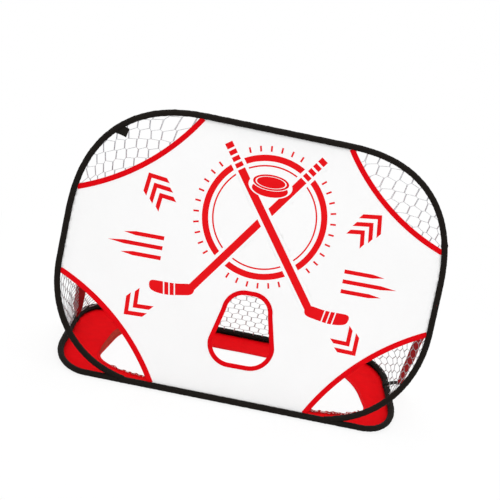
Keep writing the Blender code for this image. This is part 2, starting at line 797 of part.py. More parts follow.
def net_panel(name, first, last, columns, rows, parent):
    """A net of six-sided gaps between two stops, with a plain hem round it."""
    def place(across, down):
        start = first + (strap_margin(first, down, 1) if first % 2 else 0)
        end = last + (strap_margin(last, down, -1) if last % 2 else 0)
        return net_point(start + (end - start) * across, down)

    middle_width = (place(1, 0.5) - place(0, 0.5)).length
    if last - first > 1:
        middle_width = (net_point(2, 0.5) - place(0, 0.5)).length * 2
    height = (place(0.5, 1) - place(0.5, 0)).length
    hem_across = NET_HEM / middle_width
    hem_down = NET_HEM / height
    cell = (1 - 2 * hem_across) / columns
    row_step = (1 - 2 * hem_down) / rows
    shrink = 1 - NET_CORD_WIDTH / (cell * middle_width)
    whole = flat_area([(x * shrink * cell, y * shrink * row_step) for x, y in HEXAGON])
    holes = []
    for row in range(rows + 1):
        for column in range(columns + 1 - row % 2):
            x = hem_across + cell * (column + 0.5 * (row % 2))
            y = hem_down + row_step * row
            gap = [(x + cell * shrink * i, y + row_step * shrink * j) for i, j in HEXAGON]
            gap = clipped(gap, (hem_across, hem_down), (1 - hem_across, 1 - hem_down))
            if gap and flat_area(gap) > whole * SMALLEST_GAP_SHARE:
                holes.append(gap)
    edge = [step / columns / 2 for step in range(2 * columns + 1)]
    side = [step / rows for step in range(1, rows)]
    outline = [(x, 0.0) for x in edge] + [(1.0, y) for y in side]
    outline += [(x, 1.0) for x in reversed(edge)] + [(0.0, y) for y in reversed(side)]
    stretched = middle_width / height
    outline = [(x * stretched, y) for x, y in outline]
    holes = [[(x * stretched, y) for x, y in hole] for hole in holes]
    plate(name, outline, holes, lambda x, y: place(x / stretched, y), NET_THICKNESS,
          NET_CORD, parent)


def make_nets(parent):
    net_panel("net_right_side", 0, 1, NET_SIDE_COLUMNS, NET_SIDE_ROWS, parent)
    net_panel("net_back", 1, 3, NET_BACK_COLUMNS, NET_BACK_ROWS, parent)
    net_panel("net_left_side", 3, 4, NET_SIDE_COLUMNS, NET_SIDE_ROWS, parent)


def strap_end(at, heading, run, reach, sides):
    """Where a strap's four edges stop, on a face that lies at a reach from a hoop's line."""
    facing = (run - heading * run.dot(heading)).normalized()
    return [at + side + run * ((reach - side.dot(facing)) / run.dot(facing)) for side in sides]


def make_strap(name, stop, parent):
    """A red stay from the front hoop's side down to its anchor on the base hoop."""
    top, foot, run, top_heading, foot_heading = net_line(stop)
    aside = (aside_of(stop, 0.5, 1) + aside_of(stop, 0.5, -1)).normalized() * (STRAP_WIDTH / 2)
    out = run.cross(aside).normalized() * (STRAP_THICKNESS / 2)
    sides = [-aside - out, aside - out, aside + out, -aside + out]
    rings = [strap_end(top, top_heading, run, NET_REACH, sides),
             strap_end(foot, foot_heading, run, -ANCHOR_REACH, sides)]
    swept(name, rings, RED_FABRIC, parent)


def make_anchor(name, stop, parent):
    """A black webbing wrap round the base sleeve, open underneath, that holds a stay."""
    foot, heading = net_line(stop)[1], net_line(stop)[4]
    strap_foot = trimmed_line(stop, NET_REACH, ANCHOR_REACH)[1]
    length = NET_BASE[1] if stop < 2 else BASE_ROUTE.total - NET_BASE[1]
    length += (strap_foot - foot).dot(heading)
    points = BASE_ROUTE.part(length - ANCHOR_WIDTH / 2, length + ANCHOR_WIDTH / 2)
    inner = SLEEVE_RADIUS + FABRIC_GAP
    inner_rings = rings_along(points, FLOOR_NORMAL, [inner] * len(points), SECTION_SIDES)
    outer = inner + ANCHOR_THICKNESS
    outer_rings = rings_along(points, FLOOR_NORMAL, [outer] * len(points), SECTION_SIDES)
    kept = [index % SECTION_SIDES for index in range(-2, SECTION_SIDES - 4)]
    rings = []
    for inside, outside in zip(inner_rings, outer_rings):
        rings.append([outside[index] for index in kept] + [inside[index] for index in reversed(kept)])
    swept(name, rings, BLACK_FABRIC, parent)


def build():
    for old in list(bpy.data.objects):
        bpy.data.objects.remove(old, do_unlink=True)
    floor = make_empty("goal_floor", (0, -CENTRE_DEPTH, 0))
    hinge = make_empty("front_hinge", (0, -CENTRE_DEPTH, AXIS_HEIGHT), -LEAN)

    make_base_wire(floor)
    make_base_sleeve(floor)
    make_hinge_sleeve(floor)
    make_ground_mat(floor)
    make_mat_tape(floor)
    make_nets(floor)
    make_strap("right_stay_strap", 1, floor)
    make_strap("left_stay_strap", 3, floor)
    make_anchor("right_strap_anchor", 1, floor)
    make_anchor("left_strap_anchor", 3, floor)

    make_front_wire(hinge)
    make_front_sleeve(hinge)
    make_target_sheet(hinge)
    make_corner_binding("top_right_binding", True, 1, hinge)
    make_corner_binding("top_left_binding", True, -1, hinge)
    make_corner_binding("bottom_right_binding", False, 1, hinge)
    make_corner_binding("bottom_left_binding", False, -1, hinge)
    make_five_hole_binding(hinge)
    make_hang_tab(hinge)


build()
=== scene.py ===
import json
import math

import bpy
import numpy as np
from mathutils import Matrix, Vector
from mathutils.geometry import delaunay_2d_cdt


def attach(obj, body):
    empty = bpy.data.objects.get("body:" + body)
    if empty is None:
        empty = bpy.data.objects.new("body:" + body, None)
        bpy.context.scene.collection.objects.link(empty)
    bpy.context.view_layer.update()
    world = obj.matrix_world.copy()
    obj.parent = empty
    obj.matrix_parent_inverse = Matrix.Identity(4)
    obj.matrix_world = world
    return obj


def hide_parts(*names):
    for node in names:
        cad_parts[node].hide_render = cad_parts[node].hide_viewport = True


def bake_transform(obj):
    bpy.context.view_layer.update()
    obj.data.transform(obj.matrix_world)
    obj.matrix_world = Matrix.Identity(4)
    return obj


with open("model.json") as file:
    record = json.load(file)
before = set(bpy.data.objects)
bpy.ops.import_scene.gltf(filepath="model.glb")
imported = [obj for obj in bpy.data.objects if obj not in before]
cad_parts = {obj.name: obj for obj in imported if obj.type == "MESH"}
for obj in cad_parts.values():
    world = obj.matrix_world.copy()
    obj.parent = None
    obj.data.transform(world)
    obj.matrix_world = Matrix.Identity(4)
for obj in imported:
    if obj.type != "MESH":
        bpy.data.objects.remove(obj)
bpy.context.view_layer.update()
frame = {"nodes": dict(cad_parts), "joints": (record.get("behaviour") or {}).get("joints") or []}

# The hoops' middle lines, as the frame has them: half widths, heights and depths from the
# hinge axis, and each corner's width, depth and the power of its curve.
FRONT_HALF = 0.600
FRONT_HEIGHT = 0.873
FRONT_LEAN = math.radians(12.2)
FRONT_LOW_CORNER = (0.330, 0.346, 2.1)
FRONT_TOP_CORNER = (0.385, 0.395, 2.45)
BASE_HALF = 0.566
BASE_DEPTH = 0.578
BASE_FRONT_CORNER = (0.115, 0.200, 2.0)
BASE_REAR_CORNER = (0.080, 0.170, 2.0)
HINGE_HALF = 0.3397
AXIS = np.array(frame["joints"][0]["pos_m"])

X = np.array((1.0, 0.0, 0.0))
Z = np.array((0.0, 0.0, 1.0))
FRONT_UP = np.array((0.0, math.sin(FRONT_LEAN), math.cos(FRONT_LEAN)))
FRONT_OUT = np.array((0.0, -math.cos(FRONT_LEAN), math.sin(FRONT_LEAN)))
HANDS = {"right": 1, "left": -1}

RANDOM = np.random.default_rng(7)

# Stitches: their pitch, length and width.
SLEEVE_STITCH = (0.0044, 0.0036, 0.0008)
TAPE_STITCH = (0.0042, 0.0036, 0.0007)
ANCHOR_STITCH = (0.0040, 0.0034, 0.0007)
TAB_STITCH = (0.0040, 0.0034, 0.0008)


# Directions and lines

def unit(vectors):
    return vectors / np.linalg.norm(vectors, axis=-1, keepdims=True)


def right_of(heading):
    """The flat direction to the right of a heading, or of each of several."""
    return np.stack([heading[..., 1], -heading[..., 0]], axis=-1)


def rise(values, start, stop):
    """0 up to one value, 1 beyond another and a straight rise between them."""
    return np.clip((values - start) / (stop - start), 0, 1)


def eased(share):
    return share * share * (3 - 2 * share)


def wave(along, size, phase=0.0):
    """A wave along a line, of a height and a turn."""
    height, turn = size
    return height * np.sin(along * turn + phase)


def waves(flat, table):
    """The sum of flat waves: each has a height, its turn per metre in x and in y, and a phase."""
    x, y = flat[..., 0], flat[..., 1]
    return sum(height * np.sin(in_x * x + in_y * y + phase) for height, in_x, in_y, phase in table)


def on_front(flat, out=0.0):
    """Points in the front hoop's plane, or in front of it, from their places in that plane."""
    return AXIS + flat[..., :1] * X + flat[..., 1:] * FRONT_UP + np.asarray(out)[..., None] * FRONT_OUT


def on_floor(flat, height):
    """Points over the floor, from x and the depth back from the hinge axis."""
    height = np.broadcast_to(height, flat.shape[:-1])
    return np.stack([flat[..., 0], AXIS[1] + flat[..., 1], height], axis=-1)


def turned(points, angle, centre):
    c, s = math.cos(angle), math.sin(angle)
    return np.asarray(points) @ np.array([[c, s], [-s, c]]) + centre


def circle(centre, radius, steps=64, stretch=1.0):
    angles = np.arange(steps) * 2 * math.pi / steps
    return np.stack([np.cos(angles) * radius, np.sin(angles) * radius * stretch], axis=1) + centre


def corner(width, depth, power, steps=40):
    """A rounded corner's run outward and its rise, from its start to its end."""
    angles = np.linspace(0, math.pi / 2, steps + 1)
    run = width * np.sin(angles) ** (2 / power)
    climb = depth * (1 - np.clip(np.cos(angles), 0, 1) ** (2 / power))
    return run, climb


def right_half(low_half, high_half, low, high, low_corner, high_corner, steps=40):
    """The right half of a symmetric outline, from its low edge up to its high edge."""
    low_run, low_climb = corner(*low_corner, steps)
    high_run, high_climb = corner(*high_corner, steps)
    x = np.concatenate([low_half - low_corner[0] + low_run, (high_half - high_corner[0] + high_run)[::-1]])
    y = np.concatenate([low + low_climb, (high - high_climb)[::-1]])
    return np.stack([x, y], axis=1)


def hoop_outline(half, low, high, low_corner, high_corner):
    """A closed outline from the middle of its low edge, round by +X, symmetric in X."""
    right = right_half(half, half, low, high, low_corner, high_corner)
    return np.concatenate([[(0.0, low)], right, [(0.0, high)], right[::-1] * (-1, 1)])


def grown(outline, distance):
    """A closed flat outline with each edge moved outward by a distance."""
    before = unit(outline - np.roll(outline, 1, axis=0))
    after = unit(np.roll(outline, -1, axis=0) - outline)
    heading = unit(before + after)
    stretch = 1 / np.clip((heading * before).sum(axis=1, keepdims=True), 0.5, 1)
    return outline + right_of(heading) * stretch * distance


def sides_of(loop):
    """The outward direction at each point of a closed flat loop."""
    return right_of(unit(np.roll(loop, -1, axis=0) - np.roll(loop, 1, axis=0)))


def closed_up(loop):
    return np.concatenate([loop, loop[:1]])


def stations(start, end, spacing):
    """Lengths from a start to an end, at about a spacing."""
    count = max(int(round((end - start) / spacing)), 2)
    return np.linspace(start, end, count + 1)


class Line:
    """A polyline that is read by the length along it."""

    def __init__(self, points, closed=False):
        self.closed = closed
        self.points = closed_up(points) if closed else points
        steps = np.linalg.norm(np.diff(self.points, axis=0), axis=1)
        self.lengths = np.concatenate([[0], np.cumsum(steps)])
        self.total = self.lengths[-1]

    def at(self, length):
        length = length % self.total if self.closed else length
        return np.stack([np.interp(length, self.lengths, axis) for axis in self.points.T], axis=-1)

    def heading(self, length, step=0.003):
        return unit(self.at(length + step) - self.at(length - step))

    def side(self, length, normal):
        """The direction to the line's right, seen from the side that a normal points to."""
        return unit(np.cross(self.heading(length), normal))


def counted(loop, spacing):
    """A closed loop's points, respaced evenly."""
    line = Line(loop, closed=True)
    count = max(int(line.total / spacing), 8)
    return line.at(np.arange(count) * line.total / count)


def headings(points):
    return unit(np.gradient(points, axis=0))


def swept(points, across, up, profile):
    """Rings along a line. profile is across and up from it, for all of its points or for each."""
    across, up = (np.broadcast_to(way, points.shape)[:, None] for way in (across, up))
    return points[:, None] + across * profile[..., :1] + up * profile[..., 1:]


def whole_profile(upper):
    """A closed profile from its upper half, which it repeats below."""
    return np.array(upper + [(across, -up) for across, up in reversed(upper) if up])


SLEEVE_RADIUS = 0.0100
SLEEVE_HALF_THICKNESS = 0.0097
FRONT_OUTLINE = hoop_outline(FRONT_HALF, 0.0, FRONT_HEIGHT, FRONT_LOW_CORNER, FRONT_TOP_CORNER)
BASE_OUTLINE = hoop_outline(BASE_HALF, 0.0, BASE_DEPTH, BASE_FRONT_CORNER, BASE_REAR_CORNER)
FRONT_LINE = Line(on_front(FRONT_OUTLINE), closed=True)
BASE_LINE = Line(on_floor(BASE_OUTLINE, SLEEVE_RADIUS), closed=True)


def length_at(line, outline, level):
    """The length along a hoop, from its foot's middle, to a height or depth on its right."""
    half = len(outline) // 2 + 1
    return np.interp(level, outline[1:half, 1], line.lengths[1:half])


# Materials

# The levels of noise between which a colour goes from dark to full.
MOTTLE_RAMP = (0.3, 0.7)
# The heights between which the net's painted shade, a darker colour low down, goes over to its colour.
NET_SHADE_HEIGHTS = (0.30, 0.50)
FLECK_SCALE = 150
FLECK_EDGE = 0.03
FLECK_COLOUR = (0.85, 0.80, 0.78, 1)
# Threads of a pitch are bands at a scale of one over the pitch times this.
THREAD_BANDS = 3.14
THREAD_DISTORTION = 0.6
THREAD_RELIEF = 0.15
METAL_GRAIN_SCALE = 400
METAL_GRAIN_SHADE = 0.8


def feed(tree, made, inputs):
    """Sets a node's inputs, each to a value or to another node's output."""
    for key, value in inputs.items():
        if isinstance(value, bpy.types.NodeSocket):
            tree.links.new(value, made.inputs[key])
        else:
            made.inputs[key].default_value = value


def node(tree, kind, inputs, **settings):
    made = tree.nodes.new(kind)
    for key, value in settings.items():
        setattr(made, key, value)
    feed(tree, made, inputs)
    return made


def new_material(name):
    """A material, its nodes and the output that has the places on the object."""
    material = bpy.data.materials.new(name)
    material.use_nodes = True
    tree = material.node_tree
    return material, tree, node(tree, "ShaderNodeTexCoord", {}).outputs["Object"]


def ramp(tree, factor, *stops):
    """A colour ramp between two stops, each a position and a colour."""
    made = node(tree, "ShaderNodeValToRGB", {"Fac": factor})
    for element, (position, colour) in zip(made.color_ramp.elements, stops):
        element.position = position
        element.color = (*colour, 1)
    return made.outputs["Color"]


def mixed(tree, factor, first, second):
    inputs = {"Fac": factor, "Color1": first, "Color2": second}
    return node(tree, "ShaderNodeMixRGB", inputs).outputs["Color"]


def noise(tree, place, scale, detail=2.0):
    inputs = {"Vector": place, "Scale": scale, "Detail": detail}
    return node(tree, "ShaderNodeTexNoise", inputs).outputs["Fac"]


def fabric(name, slot, colour, roughness, pitch=0.0009, weave=0.5, mottle=0.06, mottle_size=0.03,
           flecks=None, gloss=0.12, low_shade_colour=None):
    """Woven cloth: crossed threads in relief, and a colour that drifts a little.

    flecks is a level of noise above which the cloth is white. low_shade_colour is painted shade:
    a darker colour near the floor, where that is given."""
    material, tree, place = new_material(name)
    dark = [channel * (1 - mottle * 2) for channel in colour]
    drift = noise(tree, place, 1 / mottle_size, 4)
    shown = ramp(tree, drift, (MOTTLE_RAMP[0], dark), (MOTTLE_RAMP[1], colour))
    if low_shade_colour:
        height = node(tree, "ShaderNodeSeparateXYZ", {0: place}).outputs["Z"]
        low, high = NET_SHADE_HEIGHTS
        share = node(tree, "ShaderNodeMapRange", {"Value": height, "From Min": low, "From Max": high})
        shown = mixed(tree, share.outputs["Result"], (*low_shade_colour, 1), shown)
    if flecks:
        spots = noise(tree, place, FLECK_SCALE)
        spots = ramp(tree, spots, (flecks, (0, 0, 0)), (flecks + FLECK_EDGE, (1, 1, 1)))
        shown = mixed(tree, spots, shown, FLECK_COLOUR)
    threads = {"Vector": place, "Scale": 1 / (pitch * THREAD_BANDS), "Distortion": THREAD_DISTORTION,
               "Detail": 1}
    total = 0.0
    for direction in "XYZ":
        bands = node(tree, "ShaderNodeTexWave", threads, wave_type="BANDS", bands_direction=direction)
        total = node(tree, "ShaderNodeMath", {0: total, 1: bands.outputs["Fac"]}, operation="ADD").outputs[0]
    relief = {"Strength": weave, "Distance": pitch * THREAD_RELIEF, "Height": total}
    bump = node(tree, "ShaderNodeBump", relief)
    feed(tree, tree.nodes["Principled BSDF"], {
        "Base Color": shown, "Roughness": roughness, "Specular IOR Level": gloss,
        "Normal": bump.outputs["Normal"]})
    return material


def metal(name, colour, roughness):
    material, tree, place = new_material(name)
    dark = [channel * METAL_GRAIN_SHADE for channel in colour]
    shown = ramp(tree, noise(tree, place, METAL_GRAIN_SCALE), (0.0, dark), (1.0, colour))
    feed(tree, tree.nodes["Principled BSDF"], {
        "Base Color": shown, "Roughness": roughness, "Metallic": 1.0})
    return material


BLACK_SLOT, RED_SLOT, WHITE_SLOT = "black_sleeve_fabric", "red_fabric", "white_sheet_fabric"
BLACK = fabric("sleeve_cloth", BLACK_SLOT, (0.0095, 0.0070, 0.0052), 0.85, pitch=0.0008, mottle=0.10)
BLACK_WEBBING = fabric("black_webbing", BLACK_SLOT, (0.010, 0.008, 0.006), 0.80, pitch=0.0016, weave=0.9)
BLACK_THREAD = fabric("black_thread", BLACK_SLOT, (0.016, 0.013, 0.011), 0.60, pitch=0.0004)
RED = fabric("red_cloth", RED_SLOT, (0.80, 0.0010, 0.0045), 0.80, mottle=0.04, gloss=0.03)
# Painted shade: a dark brownish copy of the red cloth for its reverse, which is seen in shade under the mat
# and on the turned-up hem.
RED_REVERSE_PAINTED_SHADE = fabric("red_cloth_reverse", RED_SLOT, (0.42, 0.035, 0.022), 0.85, mottle=0.10, gloss=0.05)
RED_TAPE = fabric("red_tape", RED_SLOT, (0.80, 0.0010, 0.0055), 0.75, pitch=0.0012, weave=0.8,
                  mottle=0.05, gloss=0.05)
RED_THREAD = fabric("red_thread", RED_SLOT, (0.66, 0.004, 0.008), 0.60, pitch=0.0004)
# Painted shade: a darker red for the crumpled ruffles, whose folds lie in shade; its white flecks are bits
# of net and hem.
SHADED_RUFFLE_CLOTH = fabric("ruffled_cloth", RED_SLOT, (0.60, 0.035, 0.030), 0.85, mottle=0.12, flecks=0.50, gloss=0.05)
STAY_RED = fabric("stay_webbing", RED_SLOT, (0.30, 0.0030, 0.0040), 0.80, pitch=0.0014, weave=0.9,
                  mottle=0.10)
WHITE = fabric("white_cloth", WHITE_SLOT, (0.93, 0.93, 0.93), 0.80, pitch=0.0008, weave=0.4,
               mottle=0.006, mottle_size=0.2)
INK = fabric("red_ink", WHITE_SLOT, (0.79, 0.0015, 0.0050), 0.70, pitch=0.0008, weave=0.4, mottle=0.03)
INK_REVERSE = fabric("ink_from_behind", WHITE_SLOT, (0.88, 0.62, 0.62), 0.80, pitch=0.0008, weave=0.4,
                     mottle=0.02)
# The net's cords are painted darker near the floor as shade.
NET = fabric("net_cord", "net_cord", (0.62, 0.63, 0.66), 0.80, pitch=0.0006, weave=0.8, mottle=0.05,
             low_shade_colour=(0.45, 0.46, 0.47))
STEEL = metal("spring_wire", (0.42, 0.42, 0.43), 0.35)
CRIMP = metal("crimp", (0.62, 0.62, 0.63), 0.30)


# Mesh building

def make_object(name, data):
    made = bpy.data.objects.new(name, data)
    bpy.context.scene.collection.objects.link(made)
    return made


def make_piece(name, shape, material, body=None, replaced=None, indices=None, smooth=True):
    """A new mesh piece from its vertices and faces.

    material is one material, or a list that the indices pick from. body is what the piece rides
    on, and replaced is the frame's node that it stands for."""
    vertices, faces = shape
    materials = material if isinstance(material, list) else [material]
    mesh = bpy.data.meshes.new(name)
    mesh.from_pydata(np.asarray(vertices, float).tolist(), [], [tuple(map(int, face)) for face in faces])
    for each in materials:
        mesh.materials.append(each)
    if indices is not None:
        mesh.polygons.foreach_set("material_index", np.asarray(indices, np.int32))
    if smooth:
        mesh.shade_smooth()
    mesh.update()
    piece = make_object(name, mesh)
    if body:
        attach(piece, body)
    if replaced:
        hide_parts(replaced)
    return piece


def joined(parts):
    """One list of vertices and one of faces from several of them."""
    vertices, faces, start = [], [], 0
    for points, shapes in parts:
        vertices.append(points)
        faces += [tuple(start + index for index in shape) for shape in shapes]
        start += len(points)
    return np.concatenate(vertices), faces


def tube(rings, closed=False):
    """A skin over rings of points, with flat ends unless it is closed."""
    rows, columns = rings.shape[:2]
    faces = []
    for row in range(rows if closed else rows - 1):
        near, far = row * columns, (row + 1) % rows * columns
        for column in range(columns):
            after = (column + 1) % columns
            faces.append((near + column, far + column, far + after, near + after))
    if not closed:
        faces.append(tuple(range(columns)))
        faces.append(tuple(reversed(range((rows - 1) * columns, rows * columns))))
    return rings.reshape(-1, 3), faces


def round_cord(points, normal, radius, sides):
    """A cord along points. normal is a direction across it at each point."""
    heading = headings(points)
    side = unit(np.cross(heading, normal))
    return tube(swept(points, side, np.cross(side, heading), circle((0, 0), radius, sides)))


# Soft folds of cloth round a tube: how long each is, and how often it turns round the tube.
FOLDS = ((0.010, 1), (0.014, -2), (0.021, 1), (0.033, 2), (0.060, -1))
# The folds come and go over this many of their lengths, down to a share of their height.
FOLD_DRIFT = 7
FOLD_LEAST = 0.2


def ripples(lengths, angles, size):
    """The folds' height for each length and each angle."""
    height = np.zeros((len(lengths), len(angles)))
    middle, change = (1 + FOLD_LEAST) / 2, (1 - FOLD_LEAST) / 2
    for fold, turns in FOLDS:
        start, drift = RANDOM.uniform(0, 2 * math.pi, 2)
        swell = middle + change * np.sin(lengths[:, None] / (fold * FOLD_DRIFT) + drift)
        height += swell * np.sin(2 * math.pi * lengths[:, None] / fold + turns * angles[None] + start)
    return height * size / len(FOLDS)


STITCH_SINK = 0.4


def stitch(length, width):
    """One stitch that runs along x on cloth that faces z: two square rings between sunk points."""
    ring = circle((0, 0), width / 2, 4)
    sunk = -STITCH_SINK * width
    rows = [np.insert(ring, 0, along, axis=1) for along in (-length / 4, length / 4)]
    shape = np.concatenate([[(-length / 2, 0, sunk)], *rows, [(length / 2, 0, sunk)]])
    faces = []
    for i in range(4):
        j = (i + 1) % 4
        faces += [(0, 1 + j, 1 + i), (1 + i, 1 + j, 5 + j, 5 + i), (9, 5 + i, 5 + j)]
    return shape, faces


def stitches(points, normal, size, lift=0.0):
    """A row of thread stitches along points. normal is the cloth's, for all or for each point."""
    pitch, length, width = size
    line = Line(points)
    centres = np.arange(pitch / 2, line.total, pitch)
    heading = line.heading(centres)
    nearest = (centres / line.total * (len(points) - 1)).round().astype(int)
    side = unit(np.cross(np.broadcast_to(normal, points.shape)[nearest], heading))
    up = np.cross(heading, side)
    shape, faces = stitch(length, width)
    at = line.at(centres) + up * lift
    return joined([(row, faces) for row in at[:, None] + shape @ np.stack([heading, side, up], axis=1)])


# Flat cutting. The grid sways a little, so that its rows don't show, and keeps clear of cuts.

GRID_SWAY = 0.25
GRID_SWAY_TURN = 2.1
GRID_CLEARANCE = 0.45
MERGE_DISTANCE = 1e-6
# The spacing of the points on a cloth's rim from which its distance is measured.
RIM_SPACING = 0.01


def inside(points, loop):
    """Whether each flat point lies inside a closed loop."""
    x, y = points[:, :1], points[:, 1:]
    a, b = loop, np.roll(loop, -1, axis=0)
    crosses = (a[:, 1] > y) != (b[:, 1] > y)
    with np.errstate(divide="ignore", invalid="ignore"):
        at = a[:, 0] + (y - a[:, 1]) * (b[:, 0] - a[:, 0]) / (b[:, 1] - a[:, 1])
    return (crosses & (x < at)).sum(axis=1) % 2 == 1


def distance_to(points, loop, batch=64):
    """The distance of each flat point from a closed loop's own points."""
    best = np.full(points.shape[:-1], np.inf)
    for start in range(0, len(loop), batch):
        gaps = points[..., None, :] - loop[start:start + batch]
        best = np.minimum(best, np.linalg.norm(gaps, axis=-1).min(axis=-1))
    return best


def cut_cloth(outline, hole, marks, spacing):
    """Triangles of a cloth with a hole, cut also along marks, on a grid of a spacing."""
    low, high = outline.min(axis=0), outline.max(axis=0)
    columns, rows = (np.arange(low[axis] + spacing / 2, high[axis], spacing) for axis in (0, 1))
    grid = np.stack(np.meshgrid(columns, rows), axis=-1).reshape(-1, 2)
    grid[:, 0] += spacing * GRID_SWAY * np.sin(grid[:, 1] / spacing * GRID_SWAY_TURN)
    keep = inside(grid, outline) & ~inside(grid, hole)
    loops = [outline, hole] + marks
    for loop in loops:
        keep &= distance_to(grid, loop) > spacing * GRID_CLEARANCE
    coordinates = [Vector(point) for point in grid[keep]]
    edges = []
    for loop in loops:
        start = len(coordinates)
        coordinates += [Vector(point) for point in loop]
        edges += [(start + i, start + (i + 1) % len(loop)) for i in range(len(loop))]
    points, _, faces = delaunay_2d_cdt(coordinates, edges, [], 0, MERGE_DISTANCE, False)[:3]
    points = np.array([tuple(point) for point in points])
    faces = np.array([tuple(face) for face in faces])
    middles = points[faces].mean(axis=1)
    keep = inside(middles, outline) & ~inside(middles, hole)
    return points, faces[keep], middles[keep]


def area_of(points, faces):
    a, b, c = (points[faces[:, index]] for index in range(3))
    return float(np.abs(((b - a) * right_of(c - a)).sum(axis=1)).sum() / 2)


def thickened(front, back, faces):
    """Two layers of the same cut with the rim between them, and how many faces the rim has."""
    count = len(front)
    edges = {pair: True for a, b, c in faces for pair in ((a, b), (b, c), (c, a))}
    rim = [(b, a, a + count, b + count) for a, b in edges if (b, a) not in edges]
    every = [tuple(face) for face in faces] + [tuple(face) for face in faces[:, ::-1] + count] + rim
    return (np.concatenate([front, back]), every), len(rim)


# The sheet's outline and openings, measured up the front hoop's plane

SHEET_THICKNESS = 0.0008
SHEET_TUCK = 0.0080
SHEET_LINE = Line(grown(FRONT_OUTLINE, -SHEET_TUCK), closed=True)
SHEET_EDGE_SPACING = 0.008
SHEET_SPACING = 0.010
TAPE_SPACING = 0.006
# The sheet sits turned a little in its hoop.
SHEET_TURN = math.radians(1.2)
SHEET_SHIFT = np.array((0.003, -0.001))
SHEET_PIVOT = np.array((0.0, 0.45))
BINDING_WIDTH = 0.0175
BINDING_OVERHANG = 0.001
FIVE_BINDING_WIDTH = 0.015
TOP_OPENING = (0.367, 0.287)
LOW_OPENING = (0.354, 0.3325)
OPENING_BOW = 0.040
LOW_LEFT_DROP = 0.008
FIVE_HOLE_CENTRE = 0.010
FIVE_HOLE_LOW = 0.127
FIVE_HOLE_HIGH = 0.341
FIVE_HOLE_LOW_HALF = 0.0875
FIVE_HOLE_TOP_HALF = 0.0620
FIVE_HOLE_LOW_RADIUS = 0.058
FIVE_HOLE_TOP_RADIUS = 0.050
FIVE_HOLE_SETBACK = 0.001
# The cloth is pulled, so that this opening stands a little wider than its pattern.
FIVE_HOLE_STRETCH = 0.005
# The corner openings' ends on the right of the hoop's outline, in the order in which it goes.
TOP_ENDS = ((FRONT_HALF, FRONT_HEIGHT - TOP_OPENING[1]), (FRONT_HALF - TOP_OPENING[0], FRONT_HEIGHT))
LOW_ENDS = ((FRONT_HALF - LOW_OPENING[0], 0.0), (FRONT_HALF, LOW_OPENING[1]))
LOW_LEFT_ENDS = (LOW_ENDS[0], (FRONT_HALF, LOW_OPENING[1] - LOW_LEFT_DROP))


def seated(flat):
    """Points of the sheet's own pattern where they come to lie in the hoop."""
    return turned(np.asarray(flat) - SHEET_PIVOT, SHEET_TURN, SHEET_PIVOT + SHEET_SHIFT)


def chord(ends):
    """The middle between a corner opening's ends, its half length and the way to the corner."""
    a, b = np.array(ends)
    return (a + b) / 2, np.linalg.norm(b - a) / 2, right_of(unit(b - a))


def bowed_arc(ends, side):
    """Centre and radius of the arc through a corner's ends that bows toward the sheet's middle."""
    middle, half, outward = chord(ends)
    radius = (half * half + OPENING_BOW ** 2) / (2 * OPENING_BOW)
    return seated((middle + outward * (radius - OPENING_BOW)) * (side, 1)), radius


# In the order in which the hoop's line meets them.
CORNER_ARCS = {
    "bottom_right": bowed_arc(LOW_ENDS, 1),
    "top_right": bowed_arc(TOP_ENDS, 1),
    "top_left": bowed_arc(TOP_ENDS, -1),
    "bottom_left": bowed_arc(LOW_LEFT_ENDS, -1),
}


def crossings(arc, offset, samples=12000):
    """Lengths along the sheet's line where it goes in and out of an arc's circle."""
    centre, radius = arc
    lengths = np.linspace(0, SHEET_LINE.total, samples)
    beyond = np.linalg.norm(SHEET_LINE.at(lengths) - centre, axis=1) - radius - offset
    found = np.nonzero(np.diff(np.sign(beyond)))[0]
    return lengths[found[0]], lengths[found[-1]]


def arc_points(arc, offset, spacing=TAPE_SPACING):
    """An arc between the two places where it crosses the sheet's line, in that line's order."""
    centre, radius = arc
    first, last = (math.atan2(y, x) for x, y in SHEET_LINE.at(np.array(crossings(arc, offset))) - centre)
    turn = (last - first + math.pi) % (2 * math.pi) - math.pi
    angles = first + turn * np.linspace(0, 1, int(abs(turn) * radius / spacing) + 1)
    return centre + (radius + offset) * np.stack([np.cos(angles), np.sin(angles)], axis=1)


def sheet_outline():
    """The sheet's edge: the hoop's line, cut off at each corner by an arc."""
    seat = -BINDING_WIDTH / 2 + BINDING_OVERHANG
    cuts = [crossings(arc, seat) for arc in CORNER_ARCS.values()]
    starts = [0.0] + [last for _, last in cuts]
    stops = [first for first, _ in cuts] + [SHEET_LINE.total]
    edges = [SHEET_LINE.at(stations(start, stop, SHEET_EDGE_SPACING)) for start, stop in zip(starts, stops)]
    outline = [edges[0][:-1]]
    for arc, edge in zip(CORNER_ARCS.values(), edges[1:]):
        outline += [arc_points(arc, seat)[:-1], edge[:-1]]
    return np.concatenate(outline)


def five_hole_outline(growth=0.0):
    low_corner = (FIVE_HOLE_LOW_RADIUS, FIVE_HOLE_LOW_RADIUS, 2.0)
    top_corner = (FIVE_HOLE_TOP_RADIUS, FIVE_HOLE_TOP_RADIUS, 2.0)
    right = right_half(FIVE_HOLE_LOW_HALF, FIVE_HOLE_TOP_HALF, FIVE_HOLE_LOW, FIVE_HOLE_HIGH,
                       low_corner, top_corner, 12)
    outline = np.concatenate([right, right[::-1] * (-1, 1)])
    return seated(grown(outline, growth + FIVE_HOLE_STRETCH) + (FIVE_HOLE_CENTRE, FIVE_HOLE_STRETCH / 4))


SHEET_OUTLINE = sheet_outline()
# Faint pulls between the sheet's edges, which hold it still over a short way.
SHEET_PULLS = ((0.0016, 9, 4, 0.6), (0.0012, -7, 13, 2.0), (0.0004, 24, -14, 0.5708),
               (-0.0004, 24, -4, 2.5708), (0.0006, 31, 21.7, 0), (0.0005, 38, -30.4, 1.3))
SHEET_HELD = 0.09


